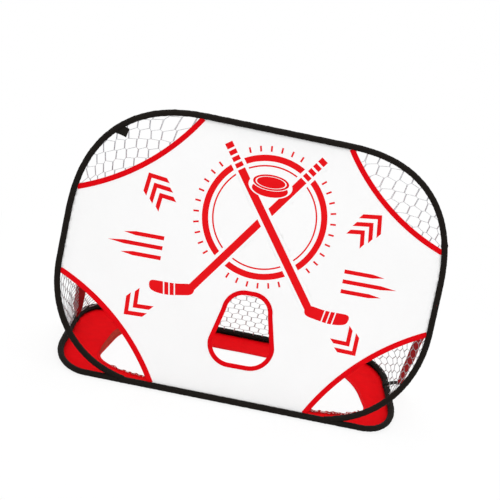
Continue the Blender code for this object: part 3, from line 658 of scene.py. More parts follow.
def billow(flat):
    """How far the stretched sheet stands out of its plane."""
    from_edge = distance_to(flat, counted(SHEET_OUTLINE, RIM_SPACING))
    return waves(flat, SHEET_PULLS) * eased(rise(from_edge, 0, SHEET_HELD))


# The print: crossed sticks over a ring, a puck, and chevrons that point at the corners

PRINT_CENTRE = np.array((0.010, 0.600))
# Circles from the largest inward: radius, and 1 for ink or 0 for bare cloth.
PRINT_RINGS = ((0.198, 1), (0.178, 0), (0.166, 1), (0.161, 0))
TICK_COUNT = 40
TICK_RADII = (0.208, 0.226)
TICK_HALF_WIDTH = 0.003
TICK_CLEARANCE = 0.10
STICK_TILT = math.radians(36)
STICK_HALF_WIDTH = 0.0125
STICK_TOP = 0.262
STICK_HEEL = -0.330
STICK_HALO = 0.010
STICK_BANDS = (0.170, 0.192, 0.214, 0.236)
STICK_BAND_WIDTH = 0.007
STICK_BAND_OVERHANG = 0.002
BLADE_ANGLE = math.radians(-46)
BLADE_BACK = -0.016
BLADE_LENGTH = 0.125
BLADE_HALF_HEIGHT = 0.019
# The blade's corners past its heel: how far out, as a share of its reach and more, and how far
# up, as a share of its half height and more.
BLADE_CORNERS = ((0.35, 0, 0.92, 0), (0.75, 0, 1.10, 0.006), (1, 0, 1.15, 0.010), (1, 0.004, 0, 0.012),
                 (0.97, 0, -0.80, 0.010), (0.60, 0, -0.98, 0), (0.25, 0, -1, 0))
BLADE_CUTS = (0.045, 0.062, 0.079)
BLADE_CUT_WIDTH = 0.004
BLADE_CUT_REACH = (-0.030, 0.032)
PUCK_HEIGHT = 0.112
# The puck's ovals: how far down, radius, flatness, and ink or bare cloth.
PUCK_OVALS = ((0.011, 0.070, 0.56, 0), (0.022, 0.058, 0.42, 1), (0.0, 0.062, 0.42, 0),
              (0.0, 0.058, 0.42, 1), (0.0, 0.050, 0.38, 0), (0.0, 0.046, 0.38, 1))
CHEVRON_START = 0.030
CHEVRON_STEP = 0.036
CHEVRON_SIZE = 0.042
CHEVRON_SHRINK = 0.005
CHEVRON_THICKNESS = 0.019
BAR_START = (0.290, 0.478)
BAR_STEP = 0.032
BAR_LENGTHS = (0.130, 0.175, 0.130)
BAR_WIDTH = 0.013
BAR_TAPER = 0.7
MARK_SPACING = 0.006
# The most points of a mark that has corners and no round stretch.
MOST_CORNERS = 12


def smooth_loop(corners, steps=8):
    """A closed loop through a few corners, rounded by quadratic curves between midpoints."""
    corners = np.array(corners)
    middles = (corners + np.roll(corners, -1, axis=0)) / 2
    shares = np.linspace(0, 1, steps, endpoint=False)[:, None]
    points = []
    for index in range(len(corners)):
        start, bend, end = middles[index - 1], corners[index], middles[index]
        points.append(start * (1 - shares) ** 2 + bend * 2 * shares * (1 - shares) + end * shares ** 2)
    return np.concatenate(points)


def box(near, far, low, high):
    return np.array([(near, low), (near, high), (far, high), (far, low)])


def blade(growth):
    """A stick's blade, from its heel outward."""
    half, reach, back = BLADE_HALF_HEIGHT + growth, BLADE_LENGTH + growth, BLADE_BACK - growth
    corners = [(reach * out + further, half * up + higher) for out, further, up, higher in BLADE_CORNERS]
    return smooth_loop([(back, -half), (back, half)] + corners)


def stick_marks(side):
    """A stick with a bare halo, bands and cuts. It leans to one side with its blade outward."""
    loops = []
    for growth, ink in ((STICK_HALO, 0), (0.0, 1)):
        half = STICK_HALF_WIDTH + growth
        loops += [(box(half, -half, STICK_HEEL, STICK_TOP + growth), ink),
                  (turned(blade(growth), BLADE_ANGLE, (0, STICK_HEEL)), ink)]
    half = STICK_HALF_WIDTH + STICK_BAND_OVERHANG
    loops += [(box(half, -half, low, low + STICK_BAND_WIDTH), 0) for low in STICK_BANDS]
    for cut in BLADE_CUTS:
        loops.append((turned(box(cut, cut + BLADE_CUT_WIDTH, *BLADE_CUT_REACH), BLADE_ANGLE,
                             (0, STICK_HEEL)), 0))
    return [(turned(loop * (side, 1), side * STICK_TILT, PRINT_CENTRE), ink) for loop, ink in loops]


def ring_ticks():
    """Short strokes that stand round the ring, with none where the sticks pass."""
    near, far = TICK_RADII
    half = TICK_HALF_WIDTH
    loop = [(near, half), (far, half), (far, -half), (near, -half)]
    angles = 2 * math.pi * (np.arange(TICK_COUNT) + 0.5) / TICK_COUNT
    clear = np.abs(np.abs(np.cos(angles)) - math.sin(STICK_TILT)) >= TICK_CLEARANCE
    return [(turned(loop, angle, PRINT_CENTRE), 1) for angle in angles[clear]]


def chevron(tip, angle, size):
    """An arrow head with its tip at a point, turned to an angle."""
    back = size + CHEVRON_THICKNESS
    loop = [(0, 0), (-size, size), (-back, size), (-CHEVRON_THICKNESS, 0), (-back, -size), (-size, -size)]
    return turned(loop, angle, tip)


def side_marks(side):
    """The chevrons and the tapered bars on one side."""
    marks = []
    for ends, count in ((TOP_ENDS, 3), (LOW_ENDS, 2)):
        middle, _, outward = chord(ends)
        angle = math.atan2(outward[1], outward[0] * side)
        for step in range(count):
            tip = middle - outward * (OPENING_BOW + CHEVRON_START + CHEVRON_STEP * step)
            marks.append((chevron(tip * (side, 1), angle, CHEVRON_SIZE - CHEVRON_SHRINK * step), 1))
    for step, length in enumerate(BAR_LENGTHS):
        half, narrows = BAR_WIDTH / 2, length * BAR_TAPER
        loop = np.array([(0, half), (narrows, half), (length, 0), (narrows, -half), (0, -half)])
        marks.append(((loop + BAR_START - (0, BAR_STEP * step)) * (side, 1), 1))
    return marks


def print_marks():
    """The print's loops in the order that they are laid: 1 is ink and 0 is bare cloth."""
    marks = [(circle(PRINT_CENTRE, radius, 96), ink) for radius, ink in PRINT_RINGS]
    marks += ring_ticks() + stick_marks(-1) + stick_marks(1)
    for down, radius, flatness, ink in PUCK_OVALS:
        marks.append((circle(PRINT_CENTRE + (0, PUCK_HEIGHT - down), radius, 48, flatness), ink))
    marks += side_marks(1) + side_marks(-1)
    return [(seated(loop), ink) for loop, ink in marks]


def make_sheet():
    """The printed sheet. Round marks are respaced, and straight ones keep their corners."""
    marks = print_marks()
    loops = [counted(loop, MARK_SPACING) if len(loop) > MOST_CORNERS else loop for loop, _ in marks]
    hole = five_hole_outline(FIVE_HOLE_SETBACK)
    points, faces, middles = cut_cloth(SHEET_OUTLINE, hole, loops, SHEET_SPACING)
    inked = np.zeros(len(faces), int)
    for loop, (_, ink) in zip(loops, marks):
        inked[inside(middles, loop)] = ink
    out = billow(points)
    layers = [on_front(points, out + side * SHEET_THICKNESS / 2) for side in (1, -1)]
    shape, rim = thickened(*layers, faces)
    indices = np.concatenate([inked, inked * 2, np.zeros(rim, int)])
    piece = make_piece("printed_sheet", shape, [WHITE, INK, INK_REVERSE], "front", "target_sheet", indices)
    return piece, area_of(points, faces)


# The sheet's bindings: tape folded over an edge. Its profile is in half widths, from the side
# away from the sheet, and half thicknesses.

TAPE_THICKNESS = 0.0034
TAPE_PROFILE = whole_profile([(-1, 0), (-0.93, 0.75), (-0.8, 1), (-0.3, 1.06), (0.3, 1), (0.9, 0.95),
                              (1, 0.5)])
TAPE_STITCH_ROWS = (0.42, -0.28)
TAPE_RIPPLE = 0.0004
THREAD_LIFT = 0.0001


def make_tape(name, flat, inward, width, closed=False):
    """A bound edge: flat is its middle line in the sheet's plane, inward points at the sheet."""
    profile = TAPE_PROFILE * (width / 2, TAPE_THICKNESS / 2)
    places = flat[:, None] + inward[:, None] * profile[:, :1]
    rings = on_front(places, profile[:, 1] + billow(flat)[:, None])
    lengths = Line(flat).lengths
    rings += FRONT_OUT * ripples(lengths, np.linspace(0, 2, len(profile)), TAPE_RIPPLE)[:, :, None]
    rows = []
    for share in TAPE_STITCH_ROWS:
        row = flat + inward * width * share
        row = closed_up(row) if closed else row
        row = on_front(row, TAPE_THICKNESS / 2 + billow(row))
        rows.append(stitches(row, FRONT_OUT, TAPE_STITCH, THREAD_LIFT))
    return [make_piece(name + "_tape", tube(rings, closed), RED_TAPE, "front", name + "_binding"),
            make_piece(name + "_tape_thread", joined(rows), RED_THREAD, "front")]


def make_tapes():
    made = []
    for name, arc in CORNER_ARCS.items():
        flat = arc_points(arc, 0.0)
        made += make_tape(name, flat, unit(flat - arc[0]), BINDING_WIDTH)
    flat = counted(five_hole_outline(FIVE_BINDING_WIDTH / 2), TAPE_SPACING)
    return made + make_tape("five_hole", flat, sides_of(flat), FIVE_BINDING_WIDTH, closed=True)


# Sleeves

SLEEVE_RING_SPACING = 0.0036
SLEEVE_SIDES = 20
SLEEVE_RIPPLE = 0.0011
# The cloth is drawn in to the seam on its inner side: from where, as a cosine, and how much.
SLEEVE_PINCH_START = 0.55
SLEEVE_PINCH = 0.55
# How far the hoops' sleeves reach into the shared one, and how they swell from there.
SLEEVE_OVERLAP = 0.012
CUFF = (0.010, 0.040)
CUFF_SHARE = 0.90
SLEEVE_LAP_HEIGHT = 0.626
SLEEVE_LAP_LENGTH = 0.007
SLEEVE_LAP_SWELL = 0.16
# The base hoop's sleeve is looser behind its front corners, except where an anchor grips it.
# It loosens between two depths, and between two distances from an anchor's middle.
BASE_SLEEVE_SLACK = 0.15
BASE_SLACK_DEPTHS = (0.10, 0.22)
ANCHOR_GRIP = (0.0156, 0.0456)
BASE_SLEEVE_LIFT = 0.0006
HINGE_RADIUS = 0.0110
HINGE_FLATTENING = 0.0006
# The distance of the shared sleeve's hem from its end, which is also the hem's half width.
HINGE_HEM_AT = 0.006
HINGE_HEM_SWELL = 0.06
HINGE_MOUTH_SHARE = 0.9
HINGE_MOUTH_LENGTH = 0.002
HINGE_SEAM_ANGLE = math.radians(62)
# The front sleeve's seam: how far in from the middle line and to each side, and how many rings
# short of the sleeve's ends it stops.
SEAM_INWARD = 0.0072
SEAM_SIDE = 0.52 * SLEEVE_HALF_THICKNESS
SEAM_SHORT = 12
SEAM_LIFT = 0.0002


def sleeve_rings(line, lengths, normal, in_plane, across):
    """Rings of a cloth sleeve round a line. Its two half sizes are given for each length."""
    angles = np.arange(SLEEVE_SIDES) * 2 * math.pi / SLEEVE_SIDES
    ripple = ripples(lengths, angles, SLEEVE_RIPPLE)
    pinch = np.clip(-np.cos(angles) - SLEEVE_PINCH_START, 0, 1) * SLEEVE_PINCH
    outward_part = (in_plane[:, None] + ripple) * np.cos(angles)
    normal_part = (across[:, None] + ripple) * np.sin(angles) * (1 - pinch)
    profile = np.stack([outward_part, normal_part], axis=-1)
    return swept(line.at(lengths), line.side(lengths, normal), normal, profile)


def sleeve_run(line):
    """Lengths along a hoop's own sleeve, and its size there as a share of full size."""
    start = HINGE_HALF - SLEEVE_OVERLAP
    lengths = stations(start, line.total - start, SLEEVE_RING_SPACING)
    from_end = np.minimum(lengths - start, line.total - start - lengths)
    return lengths, CUFF_SHARE + (1 - CUFF_SHARE) * eased(rise(from_end, *CUFF))


def on_ground(rings):
    """A skin over rings, which lies flat where it would go into the floor."""
    rings[:, :, 2] = np.maximum(rings[:, :, 2], 0.0)
    return tube(rings)


def make_front_sleeve():
    lengths, size = sleeve_run(FRONT_LINE)
    from_lap = lengths - length_at(FRONT_LINE, FRONT_OUTLINE, SLEEVE_LAP_HEIGHT)
    size *= 1 + SLEEVE_LAP_SWELL * np.exp(-(from_lap / SLEEVE_LAP_LENGTH) ** 2)
    rings = sleeve_rings(FRONT_LINE, lengths, FRONT_OUT, SLEEVE_RADIUS * size, SLEEVE_HALF_THICKNESS * size)
    make_piece("front_hoop_sleeve", tube(rings), BLACK, "front", "front_sleeve")
    lengths = lengths[SEAM_SHORT:-SEAM_SHORT]
    inner = FRONT_LINE.at(lengths) - FRONT_LINE.side(lengths, FRONT_OUT) * SEAM_INWARD
    rows = [stitches(inner + out * SEAM_SIDE, out, SLEEVE_STITCH, SEAM_LIFT)
            for out in (FRONT_OUT, -FRONT_OUT)]
    make_piece("front_hoop_seam", joined(rows), BLACK_THREAD, "front")


def make_base_sleeve():
    lengths, size = sleeve_run(BASE_LINE)
    slack = rise(BASE_LINE.at(lengths)[:, 1] - AXIS[1], *BASE_SLACK_DEPTHS)
    for hand in HANDS:
        slack *= rise(np.abs(lengths - anchor_length(hand)), *ANCHOR_GRIP)
    size *= 1 + BASE_SLEEVE_SLACK * slack
    rings = sleeve_rings(BASE_LINE, lengths, Z, SLEEVE_RADIUS * size, SLEEVE_HALF_THICKNESS * size)
    rings[:, :, 2] += (SLEEVE_HALF_THICKNESS * size - SLEEVE_RADIUS + BASE_SLEEVE_LIFT)[:, None]
    make_piece("base_hoop_sleeve", on_ground(rings), BLACK, "base", "base_sleeve")


def make_hinge_sleeve():
    line = Line(np.array([AXIS - X * HINGE_HALF, AXIS + X * HINGE_HALF]))
    lengths = stations(0, line.total, SLEEVE_RING_SPACING)
    from_end = np.minimum(lengths, line.total - lengths)
    size = 1 + HINGE_HEM_SWELL * rise(np.abs(from_end - HINGE_HEM_AT), HINGE_HEM_AT, 0)
    size *= np.where(from_end < HINGE_MOUTH_LENGTH, HINGE_MOUTH_SHARE, 1.0)
    rings = sleeve_rings(line, lengths, Z, HINGE_RADIUS * size, (HINGE_RADIUS - HINGE_FLATTENING) * size)
    make_piece("shared_sleeve", on_ground(rings), BLACK, "base", "hinge_sleeve")
    out = np.array((0, -math.cos(HINGE_SEAM_ANGLE), math.sin(HINGE_SEAM_ANGLE)))
    row = stitches(line.at(lengths) + out * HINGE_RADIUS, out, SLEEVE_STITCH)
    make_piece("shared_sleeve_seam", row, BLACK_THREAD, "base")


# The ground mat

MAT_THICKNESS = 0.0015
MAT_TUCK = 0.004
MAT_SPACING = 0.013
MAT_EDGE_SPACING = 0.010
MAT_HOLE_SPACING = 0.008
MAT_FRONT_BAND = 0.065
MAT_REAR_BAND = 0.148
MAT_HOLE_HALF = 0.446
MAT_HOLE_FRONT_CORNER = (0.210, 0.120, 2.0)
MAT_HOLE_REAR_CORNERS = {"right": (0.075, 0.170, 2.0), "left": (0.045, 0.100, 2.0)}
# As the cloth lies, the hole is narrower at the rear and drawn a little to the right: its width
# as a share of the pattern's and its shift at one depth, and their change per metre behind it.
MAT_HOLE_DEPTH = 0.17
MAT_HOLE_WIDTH = (1.0146, -0.34)
MAT_HOLE_SHIFT = (0.0205, 0.0145)
MAT_TAPE_WIDTH = 0.012
MAT_TAPE_THICKNESS = 0.0010
MAT_TAPE_PROFILE = np.array([(-1, 0.2), (-0.9, 0.9), (-0.4, 1.0), (0.4, 1.0), (0.9, 0.9), (1, 0.2)])
MAT_STITCH_ROWS = (0.36, -0.36)
# Low waves of the mat about a mean height, which die out at the hoop.
MAT_CLEARANCE = 0.0004
MAT_MEAN_HEIGHT = 0.00155
MAT_WAVES = ((0.0006, 10, -4, -0.4292), (-0.0006, 16, 14, 3.5708), (0.00035, 41, -17, 1))
MAT_HELD = 0.05


def mat_hole(growth=0.0):
    low, high = MAT_FRONT_BAND, BASE_DEPTH - MAT_REAR_BAND
    right, left = (hoop_outline(MAT_HOLE_HALF, low, high, MAT_HOLE_FRONT_CORNER, MAT_HOLE_REAR_CORNERS[hand])
                   for hand in HANDS)
    middle = len(right) // 2 + 1
    outline = counted(np.concatenate([right[:middle], left[middle:]]), MAT_HOLE_SPACING)
    behind = outline[:, 1] - MAT_HOLE_DEPTH
    width, shift = (at + change * behind for at, change in (MAT_HOLE_WIDTH, MAT_HOLE_SHIFT))
    outline[:, 0] = outline[:, 0] * width + shift
    return grown(outline, growth)


def mat_height(flat):
    """How high the mat's underside stands off the floor."""
    held = rise(distance_to(flat, counted(BASE_OUTLINE, RIM_SPACING)), 0, MAT_HELD)
    return MAT_CLEARANCE + held * (MAT_MEAN_HEIGHT + waves(flat, MAT_WAVES))


def over_mat(flat, height):
    return on_floor(flat, mat_height(flat) + MAT_THICKNESS + height)


def make_mat():
    outline = counted(grown(BASE_OUTLINE, -MAT_TUCK), MAT_EDGE_SPACING)
    points, faces, _ = cut_cloth(outline, mat_hole(), [], MAT_SPACING)
    shape, rim = thickened(over_mat(points, 0.0), over_mat(points, -MAT_THICKNESS), faces)
    # The mat's underside takes the darker red of painted shade.
    indices = np.repeat((0, 1, 0), (len(faces), len(faces), rim))
    piece = make_piece("ground_cloth", shape, [RED, RED_REVERSE_PAINTED_SHADE], "base", "ground_mat", indices)
    return piece, area_of(points, faces)


def make_mat_tape():
    """The tape round the mat's hole and its thread."""
    middle = counted(mat_hole(MAT_TAPE_WIDTH / 2), MAT_HOLE_SPACING)
    outward = sides_of(middle) * MAT_TAPE_WIDTH
    places = middle[:, None] + outward[:, None] * MAT_TAPE_PROFILE[:, :1] / 2
    rings = over_mat(places, MAT_TAPE_PROFILE[:, 1] * MAT_TAPE_THICKNESS)
    rows = [over_mat(closed_up(middle + outward * share), MAT_TAPE_THICKNESS) for share in MAT_STITCH_ROWS]
    rows = [stitches(row, Z, TAPE_STITCH, THREAD_LIFT) for row in rows]
    return [make_piece("ground_cloth_tape", tube(rings, True), RED_TAPE, "base", "mat_inner_tape"),
            make_piece("ground_cloth_thread", joined(rows), RED_THREAD, "base")]


# What stands on the hole's edge. Stretches are shares of its length from the middle of its front.
HEM_STRETCH = (0.63, 0.795)
HEM_HEIGHT = 0.0200
HEM_LEAN = 0.014
HEM_FOOT = 0.0006
# The powers of a share that shift the hem's highest place and fill out its ends.
HEM_SHIFT = 1.1
HEM_FULLNESS = 0.6
# The hem's and the ruffles' waves: height, or share of the height, and turn along the stretch.
HEM_HEIGHT_WAVE = (0.06, 23)
HEM_LEAN_WAVE = (0.001, 17)
# Each ruffle's stretch and height.
RUFFLES = {"right": (0.105, 0.215, 0.0105), "left": (0.819, 0.900, 0.0080)}
RUFFLE_SPACING = 0.0022
RUFFLE_FOLD = (0.0016, 250)
RUFFLE_FOLD_DRIFT = (1.2, 60)
RUFFLE_SLOW_FOLD = (0.0010, 130)
RUFFLE_HEIGHT_WAVE = (0.0012, 70)
RUFFLE_LEAN_SHARE = 0.8
RUFFLE_SETBACK = 0.003
RUFFLE_FADE = 0.03
RUFFLE_FADE_LEAST = 0.08
# A black strip behind the right ruffle's foot, which paints the shadow there.
RUFFLE_SHADOW_SETBACK = 0.0075
RUFFLE_SHADOW_HEIGHT = 0.0042
RUFFLE_SHADOW_FOOT = 0.0004
RUFFLE_SHADOW_FULLNESS = 0.4
RUFFLE_SHADOW_LEAN_SHARE = 0.2
RUFFLE_SHADOW_THICKNESS = 0.0016
RIBBON_THICKNESS = 0.0010
RIBBON_FOOT = 0.0012
RIBBON_LEVELS = (0.0, 0.35, 0.7, 1.0)
RIBBON_CURL = 1.5


def hole_stretch(start, stop, spacing=0.004):
    """A stretch of the hole's edge and the directions away from the hole."""
    outline = mat_hole()
    in_front = outline[:, 1] < BASE_DEPTH / 2
    first = np.argmin(np.where(in_front, np.abs(outline[:, 0]), np.inf))
    line = Line(np.roll(outline, -first, axis=0), closed=True)
    lengths = stations(line.total * start, line.total * stop, spacing)
    return line.at(lengths), right_of(line.heading(lengths))


def ribbon(edge, outward, heights, leans, thickness=RIBBON_THICKNESS):
    """A strip that stands on an edge: how high it is, and how far its top leans outward."""
    up = [(level, 0.0) for level in RIBBON_LEVELS]
    down = [(level, thickness) for level in reversed(RIBBON_LEVELS)]
    rings = []
    for level, over in up + down:
        places = edge + outward * (leans * level ** RIBBON_CURL + over)[:, None]
        rings.append(on_floor(places, heights * level + RIBBON_FOOT))
    return tube(np.stack(rings, axis=1))


def make_turned_hem():
    """The hole's left edge, turned up so that the cloth's reverse shows, coloured darker as painted shade.
    """
    edge, outward = hole_stretch(*HEM_STRETCH)
    share = np.linspace(0, 1, len(edge))
    swell = np.sin(math.pi * share ** HEM_SHIFT) ** HEM_FULLNESS
    heights = HEM_HEIGHT * swell * (1 + wave(share, HEM_HEIGHT_WAVE)) + HEM_FOOT
    leans = HEM_LEAN * swell + wave(share, HEM_LEAN_WAVE)
    return [make_piece("ground_cloth_hem", ribbon(edge, outward, heights, leans), RED_REVERSE_PAINTED_SHADE, "base")]


def make_ruffle(hand):
    """The hole's front edge beside a lower corner, gathered into small upright folds."""
    start, stop, tall = RUFFLES[hand]
    edge, outward = hole_stretch(start, stop, RUFFLE_SPACING)
    along = np.arange(len(edge)) * RUFFLE_SPACING
    fade = np.clip(np.minimum(along, along[-1] - along) / RUFFLE_FADE, RUFFLE_FADE_LEAST, 1)
    fold = wave(along, RUFFLE_FOLD, wave(along, RUFFLE_FOLD_DRIFT)) + wave(along, RUFFLE_SLOW_FOLD, 1)
    heights = fade * (tall + wave(along, RUFFLE_HEIGHT_WAVE))
    seat = edge + outward * (fold * fade + RUFFLE_SETBACK)[:, None]
    shape = ribbon(seat, outward, heights, fold * RUFFLE_LEAN_SHARE)
    # The ruffle's darker red is painted shade.
    return make_piece(f"{hand}_ruffle", shape, SHADED_RUFFLE_CLOTH, "base")


def make_ruffle_painted_shadow(hand):
    """A black strip behind a ruffle's foot: painted shadow where the ruffle meets the mat."""
    edge, outward = hole_stretch(*RUFFLES[hand][:2])
    swell = np.sin(math.pi * np.linspace(0, 1, len(edge))) ** RUFFLE_SHADOW_FULLNESS
    heights = RUFFLE_SHADOW_HEIGHT * swell + RUFFLE_SHADOW_FOOT
    shape = ribbon(edge + outward * RUFFLE_SHADOW_SETBACK, outward, heights,
                   heights * RUFFLE_SHADOW_LEAN_SHARE, RUFFLE_SHADOW_THICKNESS)
    # The strip takes the black webbing's material as painted shadow.
    return make_piece(f"{hand}_ruffle_painted_shadow", shape, BLACK_WEBBING, "base")


# The net: lengths up the front hoop and depths on the base hoop where it ends and where the
# stays run. Its cells are taller at the top, and its rows of cells less staggered there.

NET_EDGE_HEIGHT = 0.115
NET_EDGE_DEPTH = 0.285
STAY_HEIGHT = 0.450
STAY_DEPTH = 0.380
NET_CELL_WIDTH = 0.0360
NET_TOP_ROW = 0.037
NET_LOW_ROW = 0.0260
NET_TOP_SLANT = 0.14
NET_LOW_SLANT = 0.20
NET_TOP_DRIFT = 0.14
NET_CHANGE = (0.22, 0.60)
# How far a cord swings to each side of its middle, as a share of the cords' spacing.
NET_SWING = 0.44
# How unevenly the cords lie: how far a bend may be off sideways, upward and by its lean, and
# the turns from cord to cord and from row to row by which that changes.
NET_JOG = (0.0013, 39.346, 11.135)
NET_RISE = (0.0018, 12.9898, 78.233)
NET_LEAN = (0.0010, 7.7, 31.1)
NET_CORD_RADIUS = 0.00105
NET_EDGE_RADIUS = 0.00231
# How far the net sags halfway down a rule of one length, and the waves in that: their height,
# and their turn from rule to rule and per metre down.
NET_SAG = 0.010
NET_SAG_RULE = 0.9
NET_SAG_WAVE = 0.004
NET_SAG_TURN = 0.17
NET_SAG_DRIFT = 0.06
NET_SAG_TURN_DOWN = 11
# The net hangs in over the left stay: how far, and where that fades in and out, as shares of
# the way from the net's middle to its left edge.
NET_LEFT_SAG = 0.060
NET_LEFT_FADES = (0.38, 0.52, 0.62, 0.72)
# Its right side is drawn out and its left side is bunched. The pulls are: the direction in the
# flat net, where it starts, how far it reaches, and the gain in the cells' length.
NET_PULLS = (((0.67, 0.74), -0.28, 0.21, 1.10), ((0.67, 0.74), 0.16, 0.25, 0.18),
             ((0.74, -0.67), 0.70, 0.50, -0.15), ((-0.67, 0.74), -0.14, 0.27, -0.42))
NET_BURIED = 0.004
NET_TOP_MARGIN = 0.30
NET_SIDE_MARGIN = 1.2
NET_RULES = 361
NET_RULES_TO_A_STRIP = 10
# The shortest part of a cord that is made, in steps from one of its points to the next.
NET_SLIVER = 0.01
# Points on a cord from one bend to the next, of which only the bends and the ends are kept.
NET_FINE = 8
# The shares of a free edge between which its cord runs.
NET_EDGE_SPAN = (0.01, 0.985)


def stops(line, outline, edge, stay):
    """Lengths along a hoop at the net's right edge, each stay, the middle and the left edge."""
    right = np.array([length_at(line, outline, edge), length_at(line, outline, stay), line.total / 2])
    return np.concatenate([right, line.total - right[1::-1]])


FRONT_STOPS = stops(FRONT_LINE, FRONT_OUTLINE, NET_EDGE_HEIGHT, STAY_HEIGHT)
BASE_STOPS = stops(BASE_LINE, BASE_OUTLINE, NET_EDGE_DEPTH, STAY_DEPTH)
STAY_STOP = {"right": 1, "left": 3}
# Straight rules between the hoops carry the net, from its right edge round to its left edge.
RULE_AT = np.linspace(FRONT_STOPS[0], FRONT_STOPS[-1], NET_RULES)
RULE_TOPS = FRONT_LINE.at(RULE_AT)
RULE_FEET = BASE_LINE.at(np.interp(RULE_AT, FRONT_STOPS, BASE_STOPS))
RULE_RUNS = RULE_FEET - RULE_TOPS
RULE_INWARD = unit(np.cross(np.gradient(RULE_TOPS + RULE_FEET, axis=0), RULE_RUNS))
STAY_RULES = np.interp(FRONT_STOPS[[1, 3]], RULE_AT, np.arange(NET_RULES))


def third_corner(a, b, from_a, from_b, hand):
    """The flat point at two distances from two points, on one side of their line."""
    span = np.linalg.norm(b - a)
    along = (from_a ** 2 - from_b ** 2 + span ** 2) / (2 * span)
    off = math.sqrt(max(from_a ** 2 - along ** 2, 0.0))
    heading = (b - a) / span
    return a + heading * along - right_of(heading) * off * hand


def unrolled():
    """The rules' tops and feet when the net is laid flat, with its middle rule upright."""
    tops, feet = np.zeros((NET_RULES, 2)), np.zeros((NET_RULES, 2))
    middle = NET_RULES // 2
    feet[middle] = (0, -np.linalg.norm(RULE_RUNS[middle]))
    rightward = [(index, index + 1, -1) for index in range(middle, NET_RULES - 1)]
    leftward = [(index, index - 1, 1) for index in range(middle, 0, -1)]
    for here, there, hand in rightward + leftward:
        slant = np.linalg.norm(RULE_FEET[there] - RULE_TOPS[here])
        low, high = (np.linalg.norm(ends[there] - ends[here]) for ends in (RULE_FEET, RULE_TOPS))
        feet[there] = third_corner(tops[here], feet[here], slant, low, hand)
        tops[there] = third_corner(tops[here], feet[there], high, np.linalg.norm(RULE_RUNS[there]), hand)
    return tops, feet


FLAT_TOPS, FLAT_FEET = unrolled()
FLAT_RUNS = FLAT_FEET - FLAT_TOPS
FLAT_LENGTHS = np.linalg.norm(FLAT_RUNS, axis=1)


def between(values, rule):
    """Rows of an array at places between its rows."""
    low = np.clip(np.floor(rule).astype(int), 0, len(values) - 2)
    share = (rule - low)[:, None]
    return values[low] * (1 - share) + values[low + 1] * share


def find_on_net(flat):
    """The rule, the share down it, and whether the net has them, for points of the flat net."""
    from_top = flat[:, None] - FLAT_TOPS
    beyond = (FLAT_RUNS[:, 0] * from_top[:, :, 1] - FLAT_RUNS[:, 1] * from_top[:, :, 0]) / FLAT_LENGTHS
    after = np.clip(np.argmax(beyond >= 0, axis=1), 1, NET_RULES - 1)
    each = np.arange(len(flat))
    near, far = beyond[each, after - 1], beyond[each, after]
    rule = after - 1 + np.clip(-near / np.where(far == near, 1, far - near), 0, 1)
    top, run = between(FLAT_TOPS, rule), between(FLAT_RUNS, rule)
    length = np.linalg.norm(run, axis=1)
    down = ((flat - top) * run).sum(axis=1) / length ** 2
    within = (beyond[:, 0] <= 0) & (beyond[:, -1] >= 0)
    within &= (down * length >= NET_BURIED) & ((1 - down) * length >= NET_BURIED)
    return rule, down, within


def on_net(rule, down):
    """Points of the hung net, which is slack between the hoops, and its inward directions."""
    top, run, inward = between(RULE_TOPS, rule), between(RULE_RUNS, rule), unit(between(RULE_INWARD, rule))
    length = np.linalg.norm(run, axis=1)
    slack = 4 * down * (1 - down) * length / NET_SAG_RULE
    ripple = np.sin(rule * NET_SAG_TURN) * np.sin(down * length * NET_SAG_TURN_DOWN + rule * NET_SAG_DRIFT)
    from_middle = rule / (NET_RULES - 1) * 2 - 1
    left = np.interp(from_middle, NET_LEFT_FADES, (0, 1, 1, 0))
    sag = slack * (NET_SAG + NET_SAG_WAVE * ripple + NET_LEFT_SAG * left)
    return top + run * down[:, None] + inward * sag[:, None], inward


def lowness(level):
    """0 where the net's cells are as at its top and 1 where they are as at its foot."""
    return rise(-level, *NET_CHANGE)


def net_levels(lowest):
    """The levels of the flat net's rows, from above its top down."""
    levels = [NET_TOP_MARGIN]
    while levels[-1] > lowest:
        levels.append(levels[-1] - NET_TOP_ROW - (NET_LOW_ROW - NET_TOP_ROW) * lowness(levels[-1]))
    return levels


def uneven(meeting, row, how):
    size, by_cord, by_row = how
    return size * math.sin(meeting * by_cord + row * by_row)


def strand_route(index, levels):
    """One cord of the flat net, which meets its two neighbours in turn, a little unevenly."""
    spacing = NET_CELL_WIDTH / 2
    spots = []
    for row, (level, below) in enumerate(zip(levels, levels[1:])):
        side = 1 if (index + row) % 2 else -1
        meeting = max(index, index + side)
        low = lowness(level)
        drift = NET_TOP_DRIFT * (1 - low) * NET_CELL_WIDTH * (1 if row % 2 else -1)
        slant = (NET_TOP_SLANT + (NET_LOW_SLANT - NET_TOP_SLANT) * low) * (level - below) / 2
        x = (index + 0.5 + side * NET_SWING) * spacing + drift
        x += uneven(meeting, row, NET_JOG)
        up, lean = uneven(meeting, row, NET_RISE), uneven(meeting, row, NET_LEAN)
        spots += [(x + lean, level + up - slant), (x - lean, below + up + slant)]
    return pulled(np.array(spots))


def pulled(spots):
    """Moves points of the even net to where they lie with one side drawn out and one bunched."""
    for direction, start, reach, gain in NET_PULLS:
        moved = gain * np.clip(spots @ direction - start, 0, reach)
        spots = spots + moved[:, None] * direction
    return spots


def hung_strand(route):
    """The parts of a cord that the net has, each as its rules and shares down them."""
    places = np.arange((len(route) - 1) * NET_FINE + 1) / NET_FINE
    rule, down, within = find_on_net(between(route, places))
    edges = np.flatnonzero(np.diff(np.concatenate([[0], within.astype(int), [0]])))
    for start, stop in zip(edges[::2], edges[1::2]):
        if stop - start >= 3:
            keep = [k for k in range(start, stop) if k % NET_FINE == 0 or k in (start, stop - 1)]
            yield rule[keep], down[keep]


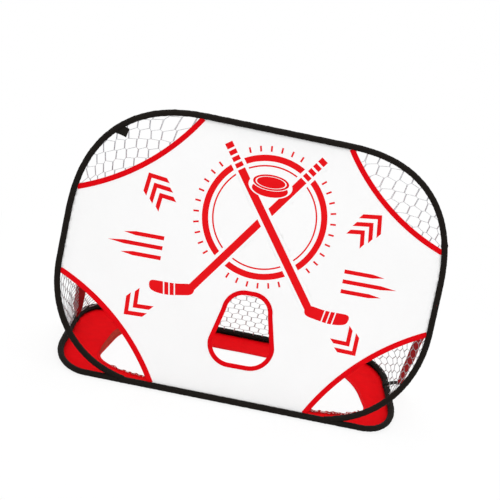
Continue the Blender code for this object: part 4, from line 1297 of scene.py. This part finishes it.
def cut_by_strip(rule, down, least=NET_SLIVER):
    """A cord's parts, each with the strip of the net that it lies in. Slivers are left out."""
    places = np.arange(len(rule), dtype=float)
    strip = np.floor(rule / NET_RULES_TO_A_STRIP)
    cuts = [0.0, places[-1]]
    for at in np.flatnonzero(np.diff(strip)):
        low, high = sorted(strip[at:at + 2])
        borders = np.arange(low + 1, high + 1) * NET_RULES_TO_A_STRIP
        cuts += list(at + (borders - rule[at]) / (rule[at + 1] - rule[at]))
    cuts = sorted(cuts)
    for first, last in zip(cuts, cuts[1:]):
        if last - first >= least:
            within = places[(places > first + least / 2) & (places < last - least / 2)]
            spots = np.concatenate([[first], within, [last]])
            rules, downs = np.interp(spots, places, rule), np.interp(spots, places, down)
            yield int(rules.mean() // NET_RULES_TO_A_STRIP), rules, downs


def edge_cord(rule):
    """The thicker cord along one free edge of the net."""
    down = np.linspace(*NET_EDGE_SPAN, 24)
    return round_cord(*on_net(np.full(len(down), float(rule)), down), NET_EDGE_RADIUS, 6)


# Where a strip's turn with the front hoop begins, below its feet, and how far short of its tops
# it ends where the front hoop is the longer one, and the least of its length that bends.
FOLD_START_SHARE = 0.07
FOLD_END_SHARE = 0.40
FOLD_LEAST_SHARE = 0.3


def follow_fold(piece, tops, feet):
    """Works out where a strip between the hoops would turn as the front hoop folds down on the base, and
    bakes its transform.

    tops are the strip's ends on the front hoop and feet its ends on the base hoop."""
    top, foot = tops.mean(axis=0), feet.mean(axis=0)
    gain = max(float(np.linalg.norm((top - AXIS)[1:]) - np.linalg.norm((foot - AXIS)[1:])), 0.0)
    length = float(np.linalg.norm(top - foot))
    run = (top - foot) / length
    end = min(((tops - foot) @ run).min(), length * (1 - FOLD_END_SHARE * gain))
    start = ((feet - foot) @ run).max() - length * FOLD_START_SHARE
    start = min(start, end - FOLD_LEAST_SHARE * length)
    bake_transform(piece)


def make_net():
    lowest = float(min(FLAT_FEET[:, 1].min(), FLAT_TOPS[:, 1].min()))
    widest = float(max(FLAT_FEET[:, 0].max(), FLAT_TOPS[:, 0].max()))
    levels = net_levels(lowest)
    reach = int(widest * NET_SIDE_MARGIN / (NET_CELL_WIDTH / 2)) + 1
    strips = {}
    for index in range(-reach, reach):
        for rule, down in hung_strand(strand_route(index, levels)):
            for strip, rules, downs in cut_by_strip(rule, down):
                cord = round_cord(*on_net(rules, downs), NET_CORD_RADIUS, 4)
                strips.setdefault(strip, []).append(cord)
    panels = ("net_right_side", "net_back", "net_left_side")
    for strip in sorted(strips):
        first = strip * NET_RULES_TO_A_STRIP
        within = slice(first, first + NET_RULES_TO_A_STRIP + 1)
        panel = panels[np.searchsorted(STAY_RULES, first + NET_RULES_TO_A_STRIP / 2)]
        piece = make_piece(f"net_strip_{strip + 1:02d}", joined(strips[strip]), NET, None, panel)
        follow_fold(piece, RULE_TOPS[within], RULE_FEET[within])
    for hand, rule in (("right", 0), ("left", NET_RULES - 1)):
        piece = make_piece(f"net_{hand}_edge", edge_cord(rule), NET, None, f"net_{hand}_side")
        follow_fold(piece, RULE_TOPS[[rule]], RULE_FEET[[rule]])


# Stays and their anchors

STAY_WIDTH = 0.036
STAY_THICKNESS = 0.0016
STAY_PROFILE = whole_profile([(-1, 0), (-0.96, 1), (-0.5, 0.9), (0, 0.85), (0.5, 0.9), (0.96, 1), (1, 0)])
STAY_STITCH_ROWS = (0.86, -0.86)
# How each stay hangs: how far it stands to +X halfway down, where its foot is from the middle
# of the base hoop's line, how far it turns to face the mouth, how much of that it turns back at
# its foot, and how much narrower it is gathered there.
STAY_BOW = {"right": -0.001, "left": 0.034}
STAY_FOOT = {"right": np.array((0.044, 0.0, 0.014)), "left": np.array((-0.006, 0.045, 0.010))}
STAY_TWIST = {"right": math.radians(114), "left": math.radians(78)}
STAY_TURN_BACK = {"right": 0.0, "left": 0.8}
STAY_GATHER = {"right": 0.35, "left": 0.0}
# The shares of a stay's length between which it twists, turns back and is gathered.
STAY_TWIST_SHARES = (0.05, 0.40)
STAY_TURN_BACK_SHARES = (0.88, 1.0)
STAY_GATHER_SHARES = (0.70, 1.0)
STAY_TWIST_POWER = 0.8
STAY_START_SHARE = 0.004
STAY_STEPS = 80
STAY_WAVE = (0.0012, 21)
ANCHOR_LENGTH = 0.026
ANCHOR_SHIFT = {"right": 0.0, "left": -0.040}
ANCHOR_RADIUS = SLEEVE_RADIUS + 0.0008
ANCHOR_THICKNESS = 0.0016
ANCHOR_STEPS = 12
# Where the arcs start and end, and how many points they have.
ANCHOR_ARC = (math.radians(-62), math.radians(242), 34)
ANCHOR_SEAM_ARC = (math.radians(-20), math.radians(200), 40)
ANCHOR_SEAMS = (-0.36, 0.36)
ANCHOR_TAIL_THICKNESS = 0.0018
ANCHOR_TAIL_OVERRUN = 1.12
ANCHOR_TAIL_STEPS = 14
ANCHOR_TAIL_LIFT = 0.004
# Where the tail starts: its place across and above the hoop, in shares of the anchor's radius.
ANCHOR_TAIL_START = (0.6, 0.8)


def stay_line(hand):
    """The ends of a stay's line, on the middle lines of the hoops."""
    return FRONT_LINE.at(FRONT_STOPS[STAY_STOP[hand]]), BASE_LINE.at(BASE_STOPS[STAY_STOP[hand]])


def stay_foot(hand):
    """Where a stay is sewn to its anchor, beside the base hoop."""
    return stay_line(hand)[1] + STAY_FOOT[hand]


def make_stay(hand):
    """The red webbing between the hoops on one side. It twists to face the mouth."""
    side = HANDS[hand]
    top, ground = stay_line(hand)
    shares = np.linspace(STAY_START_SHARE, 1.0, STAY_STEPS)[:, None]
    path = top + (stay_foot(hand) - top) * shares + X * STAY_BOW[hand] * 4 * shares * (1 - shares)
    path += X * wave(shares, STAY_WAVE) * np.sin(math.pi * shares)
    run = headings(path)
    turn = STAY_TWIST[hand] * rise(shares, *STAY_TWIST_SHARES) ** STAY_TWIST_POWER
    turn = turn * (1 - STAY_TURN_BACK[hand] * rise(shares, *STAY_TURN_BACK_SHARES))
    width_way = unit(unit(np.cross(run, X)) * np.cos(turn) * side + X * side * np.sin(turn))
    face = unit(np.cross(run, width_way)) * STAY_THICKNESS / 2
    width_way = width_way * (1 - STAY_GATHER[hand] * rise(shares, *STAY_GATHER_SHARES)) * STAY_WIDTH / 2
    rings = swept(path, width_way, face, STAY_PROFILE)
    sewn = slice(2, -2)
    rows = [stitches((path + width_way * share + face * front)[sewn], (face * front)[sewn], SLEEVE_STITCH)
            for share in STAY_STITCH_ROWS for front in (1, -1)]
    for piece in (make_piece(f"{hand}_stay", tube(rings), STAY_RED, None, f"{hand}_stay_strap"),
                  make_piece(f"{hand}_stay_thread", joined(rows), RED_THREAD)):
        tuple(top)
        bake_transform(piece)


def anchor_length(hand):
    """Where the middle of an anchor is, along the base hoop."""
    return BASE_STOPS[STAY_STOP[hand]] + ANCHOR_SHIFT[hand]


def anchor_arc(span, radius):
    angles = np.linspace(*span)
    return np.stack([np.cos(angles), np.sin(angles)], axis=1) * radius


def make_anchor(hand):
    """Black webbing round the base hoop at the foot of a stay."""
    half = ANCHOR_LENGTH / 2
    lengths = anchor_length(hand) + np.linspace(-half, half, ANCHOR_STEPS)
    outward = BASE_LINE.side(lengths, Z)
    under, over = (anchor_arc(ANCHOR_ARC, ANCHOR_RADIUS + level) for level in (0.0, ANCHOR_THICKNESS))
    rings = swept(BASE_LINE.at(lengths), outward, Z, np.concatenate([over, under[::-1]]))
    make_piece(f"{hand}_anchor", on_ground(rings), BLACK_WEBBING, "base", f"{hand}_strap_anchor")


def make_anchor_tail(hand):
    """The webbing that reaches from an anchor's loop to the stay's end."""
    foot = stay_foot(hand) + Z * ANCHOR_TAIL_LIFT
    centre = BASE_LINE.at(anchor_length(hand))
    across, up = np.multiply(ANCHOR_TAIL_START, ANCHOR_RADIUS)
    start = centre + X * np.sign(foot[0] - centre[0]) * across + Z * up
    shares = np.linspace(0, ANCHOR_TAIL_OVERRUN, ANCHOR_TAIL_STEPS)[:, None]
    bow = Z * ANCHOR_TAIL_LIFT * np.sin(math.pi * shares / ANCHOR_TAIL_OVERRUN)
    path = start + (foot - start) * shares + bow
    run = headings(path)
    heading = BASE_LINE.heading(anchor_length(hand))
    along = unit(heading - run * (run @ heading)[:, None])
    half, thin = ANCHOR_LENGTH / 2, ANCHOR_TAIL_THICKNESS / 2
    rings = swept(path, along, np.cross(run, along), box(-half, half, -thin, thin))
    make_piece(f"{hand}_anchor_tail", tube(rings), BLACK_WEBBING, "base", smooth=False)


def make_anchor_thread(hand):
    """Two rows of stitches round an anchor."""
    rows = []
    for share in ANCHOR_SEAMS:
        length = anchor_length(hand) + ANCHOR_LENGTH * share
        around = anchor_arc(ANCHOR_SEAM_ARC, 1.0) @ np.array([BASE_LINE.side(length, Z), Z])
        path = BASE_LINE.at(length) + around * (ANCHOR_RADIUS + ANCHOR_THICKNESS + THREAD_LIFT)
        rows.append(stitches(path, around, ANCHOR_STITCH))
    make_piece(f"{hand}_anchor_thread", joined(rows), BLACK_THREAD, "base")


# The hang tab: a folded loop of webbing that sticks out inward from the front sleeve

TAB_FROM_TOP = 0.524
TAB_WIDTH = 0.0290
TAB_LENGTH = 0.038
TAB_THICKNESS = 0.0014
TAB_GAP = 0.0012
# The straight part of the tab's length, and the bend at its end: how far it reaches out, its
# half height and the angles between which it turns.
TAB_STRAIGHT = (0.05, 0.95)
TAB_BEND = (0.0016, 0.0014)
TAB_TURN = (0.3, math.pi - 0.3)
TAB_STITCH_SPAN = (0.012, 0.0342)
TAB_WAVE = (0.0010, 90)
TAB_DROOP = math.radians(11)
TAB_STITCH_ROWS = (-0.42, 0.42)
TAB_STITCH_OUT = 0.0034


def tab_path():
    """The folded loop from its side: how far in it reaches and how far out of the plane it is."""
    upper = [(TAB_LENGTH * share, TAB_GAP + TAB_GAP * math.sin(math.pi * share))
             for share in np.linspace(*TAB_STRAIGHT, 14)]
    bend = [(TAB_LENGTH * TAB_STRAIGHT[1] + TAB_BEND[0] * math.sin(turn), TAB_BEND[1] * math.cos(turn))
            for turn in np.linspace(*TAB_TURN, 6)]
    return np.array(upper + bend + [(reach, -out) for reach, out in reversed(upper)])


def make_hang_tab():
    at = FRONT_LINE.at(FRONT_LINE.total / 2 + TAB_FROM_TOP)
    inward = X * math.cos(TAB_DROOP) - FRONT_UP * math.sin(TAB_DROOP)
    width_way = X * math.sin(TAB_DROOP) + FRONT_UP * math.cos(TAB_DROOP)
    path = tab_path()
    plane = np.array([inward, FRONT_OUT])
    centres = at + path @ plane + width_way * wave(path[:, :1], TAB_WAVE)
    off = -right_of(headings(path)) @ plane
    half, thin = TAB_WIDTH / 2, TAB_THICKNESS / 2
    profile = np.array([(-half, -thin), (half, -thin), (half, thin), (-half, thin)])
    rings = swept(centres, width_way, off, profile)
    make_piece("hang_loop", tube(rings), BLACK_WEBBING, "front", "hang_tab", smooth=False)
    rows = []
    for share in TAB_STITCH_ROWS:
        reaches = np.linspace(*TAB_STITCH_SPAN, 8)[:, None]
        row = at + inward * reaches + width_way * TAB_WIDTH * share + FRONT_OUT * TAB_STITCH_OUT
        rows.append(stitches(row, FRONT_OUT, TAB_STITCH))
    make_piece("hang_loop_thread", joined(rows), BLACK_THREAD, "front")


# Floor, light and camera

CAMERA_AZIMUTH = math.radians(-1.5616)
CAMERA_ELEVATION = math.radians(18.0)
CAMERA_DISTANCE = 3.4825
CAMERA_ORBIT_CENTRE = np.array((0.0, AXIS[1] + 0.25, 0.4))
CAMERA_TARGET = np.array((-0.01127, AXIS[1] + 0.25, 0.44391))
CAMERA_ROLL = math.radians(11.98)
CAMERA_FOCAL_PIXELS = 1048.58
PICTURE_PIXELS = 500
SENSOR_WIDTH = 36.0
WORLD_STRENGTH = 0.70
LAMP_TARGET = (0, 0, 0.4)
# Each lamp's place, size and power.
LAMPS = {"key": ((-1.6, -3.2, 3.0), 2.4, 30), "fill": ((2.4, -2.6, 1.8), 2.4, 16),
         "top": ((0.2, 0.4, 3.4), 2.6, 42), "rear": ((0.4, 3.4, 2.2), 2.2, 30)}
FLOOR_HALF = 30.0
FLOOR_DROP = 0.0005
FLOOR_COLOUR = (0.93, 0.93, 0.93, 1)
GLOW_COLOUR = (1, 1, 1, 1)
# The floor's glow: from what distance to what distance it rises, and its share there.
FLOOR_GLOW_DISTANCES = (0.7, 1.6)
FLOOR_GLOW_SHARES = (0.84, 1.0)


def stand(data, place, target, roll=0.0):
    """Puts a camera or a lamp at a place and turns it to a target."""
    made = make_object(data.name, data)
    made.location = place
    made.rotation_mode = "QUATERNION"
    look = Vector(np.subtract(target, place)).to_track_quat("-Z", "Y")
    made.rotation_quaternion = look @ Matrix.Rotation(roll, 3, "Z").to_quaternion()
    return made


def make_camera():
    level = math.cos(CAMERA_ELEVATION)
    back = np.array((math.sin(CAMERA_AZIMUTH) * level, -math.cos(CAMERA_AZIMUTH) * level,
                     math.sin(CAMERA_ELEVATION)))
    data = bpy.data.cameras.new("camera")
    data.sensor_width = SENSOR_WIDTH
    data.lens = SENSOR_WIDTH * CAMERA_FOCAL_PIXELS / PICTURE_PIXELS
    place = CAMERA_ORBIT_CENTRE + back * CAMERA_DISTANCE
    bpy.context.scene.camera = stand(data, place, CAMERA_TARGET, CAMERA_ROLL)


def make_lamp(name, place, size, power):
    data = bpy.data.lights.new(name, "AREA")
    data.shape = "SQUARE"
    data.size = size
    data.energy = power
    stand(data, place, LAMP_TARGET)


def seen_rays(tree):
    """1 for what the camera sees, straight or in a reflection, and 0 for what lights the goal."""
    rays = node(tree, "ShaderNodeLightPath", {})
    most = 0.0
    for kind in ("Is Camera Ray", "Is Glossy Ray", "Is Transmission Ray"):
        either = node(tree, "ShaderNodeMath", {0: most, 1: rays.outputs[kind]}, operation="MAXIMUM")
        most = either.outputs[0]
    return most


def white_floor():
    """Pale floor that stays white to the eye and still takes the goal's faint shadow."""
    material, tree, place = new_material("studio_floor")
    tree.nodes.remove(tree.nodes["Principled BSDF"])
    distance = node(tree, "ShaderNodeVectorMath", {0: place}, operation="LENGTH").outputs["Value"]
    share = node(tree, "ShaderNodeMapRange", {
        "Value": distance, "From Min": FLOOR_GLOW_DISTANCES[0], "From Max": FLOOR_GLOW_DISTANCES[1],
        "To Min": FLOOR_GLOW_SHARES[0], "To Max": FLOOR_GLOW_SHARES[1]}).outputs["Result"]
    seen = node(tree, "ShaderNodeMath", {0: seen_rays(tree), 1: share}, operation="MULTIPLY").outputs[0]
    diffuse = node(tree, "ShaderNodeBsdfDiffuse", {"Color": FLOOR_COLOUR}).outputs[0]
    glow = node(tree, "ShaderNodeEmission", {"Color": GLOW_COLOUR, "Strength": 1.0}).outputs[0]
    mix = node(tree, "ShaderNodeMixShader", {"Fac": seen, 1: diffuse, 2: glow}).outputs[0]
    feed(tree, tree.nodes["Material Output"], {"Surface": mix})
    return material


def make_studio():
    corners = [(x * FLOOR_HALF, y * FLOOR_HALF, 0) for x, y in ((-1, -1), (1, -1), (1, 1), (-1, 1))]
    floor = make_piece("studio_floor", (corners, [(0, 1, 2, 3)]), white_floor(), smooth=False)
    floor.location.z = -FLOOR_DROP
    world = bpy.data.worlds.new("studio")
    bpy.context.scene.world = world
    world.use_nodes = True
    tree = world.node_tree
    lit = {"Value": seen_rays(tree), "To Min": WORLD_STRENGTH, "To Max": 1.0}
    lit = node(tree, "ShaderNodeMapRange", lit).outputs["Result"]
    feed(tree, tree.nodes["Background"], {"Strength": lit, "Color": GLOW_COLOUR})
    for name, (place, size, power) in LAMPS.items():
        make_lamp(name, place, size, power)
    bpy.context.scene.view_settings.view_transform = "Standard"


def dress_frame():
    """New finishes for the nodes that stay."""
    for hoop in ("base", "front"):
        for name, material in ((f"{hoop}_wire", STEEL), (f"{hoop}_wire_ferrule", CRIMP)):
            for slot in frame["nodes"][name].material_slots:
                slot.material = material


make_camera()
dress_frame()
make_front_sleeve()
make_base_sleeve()
make_hinge_sleeve()
SHEET, SHEET_AREA = make_sheet()
TAPES = make_tapes()
MAT, MAT_AREA = make_mat()
MAT_TRIM = make_mat_tape() + make_turned_hem() + [make_ruffle("right"), make_ruffle_painted_shadow("right"),
                                                  make_ruffle("left")]
make_net()
for HAND in HANDS:
    make_stay(HAND)
    make_anchor(HAND)
    make_anchor_tail(HAND)
    make_anchor_thread(HAND)
make_hang_tab()
make_studio()
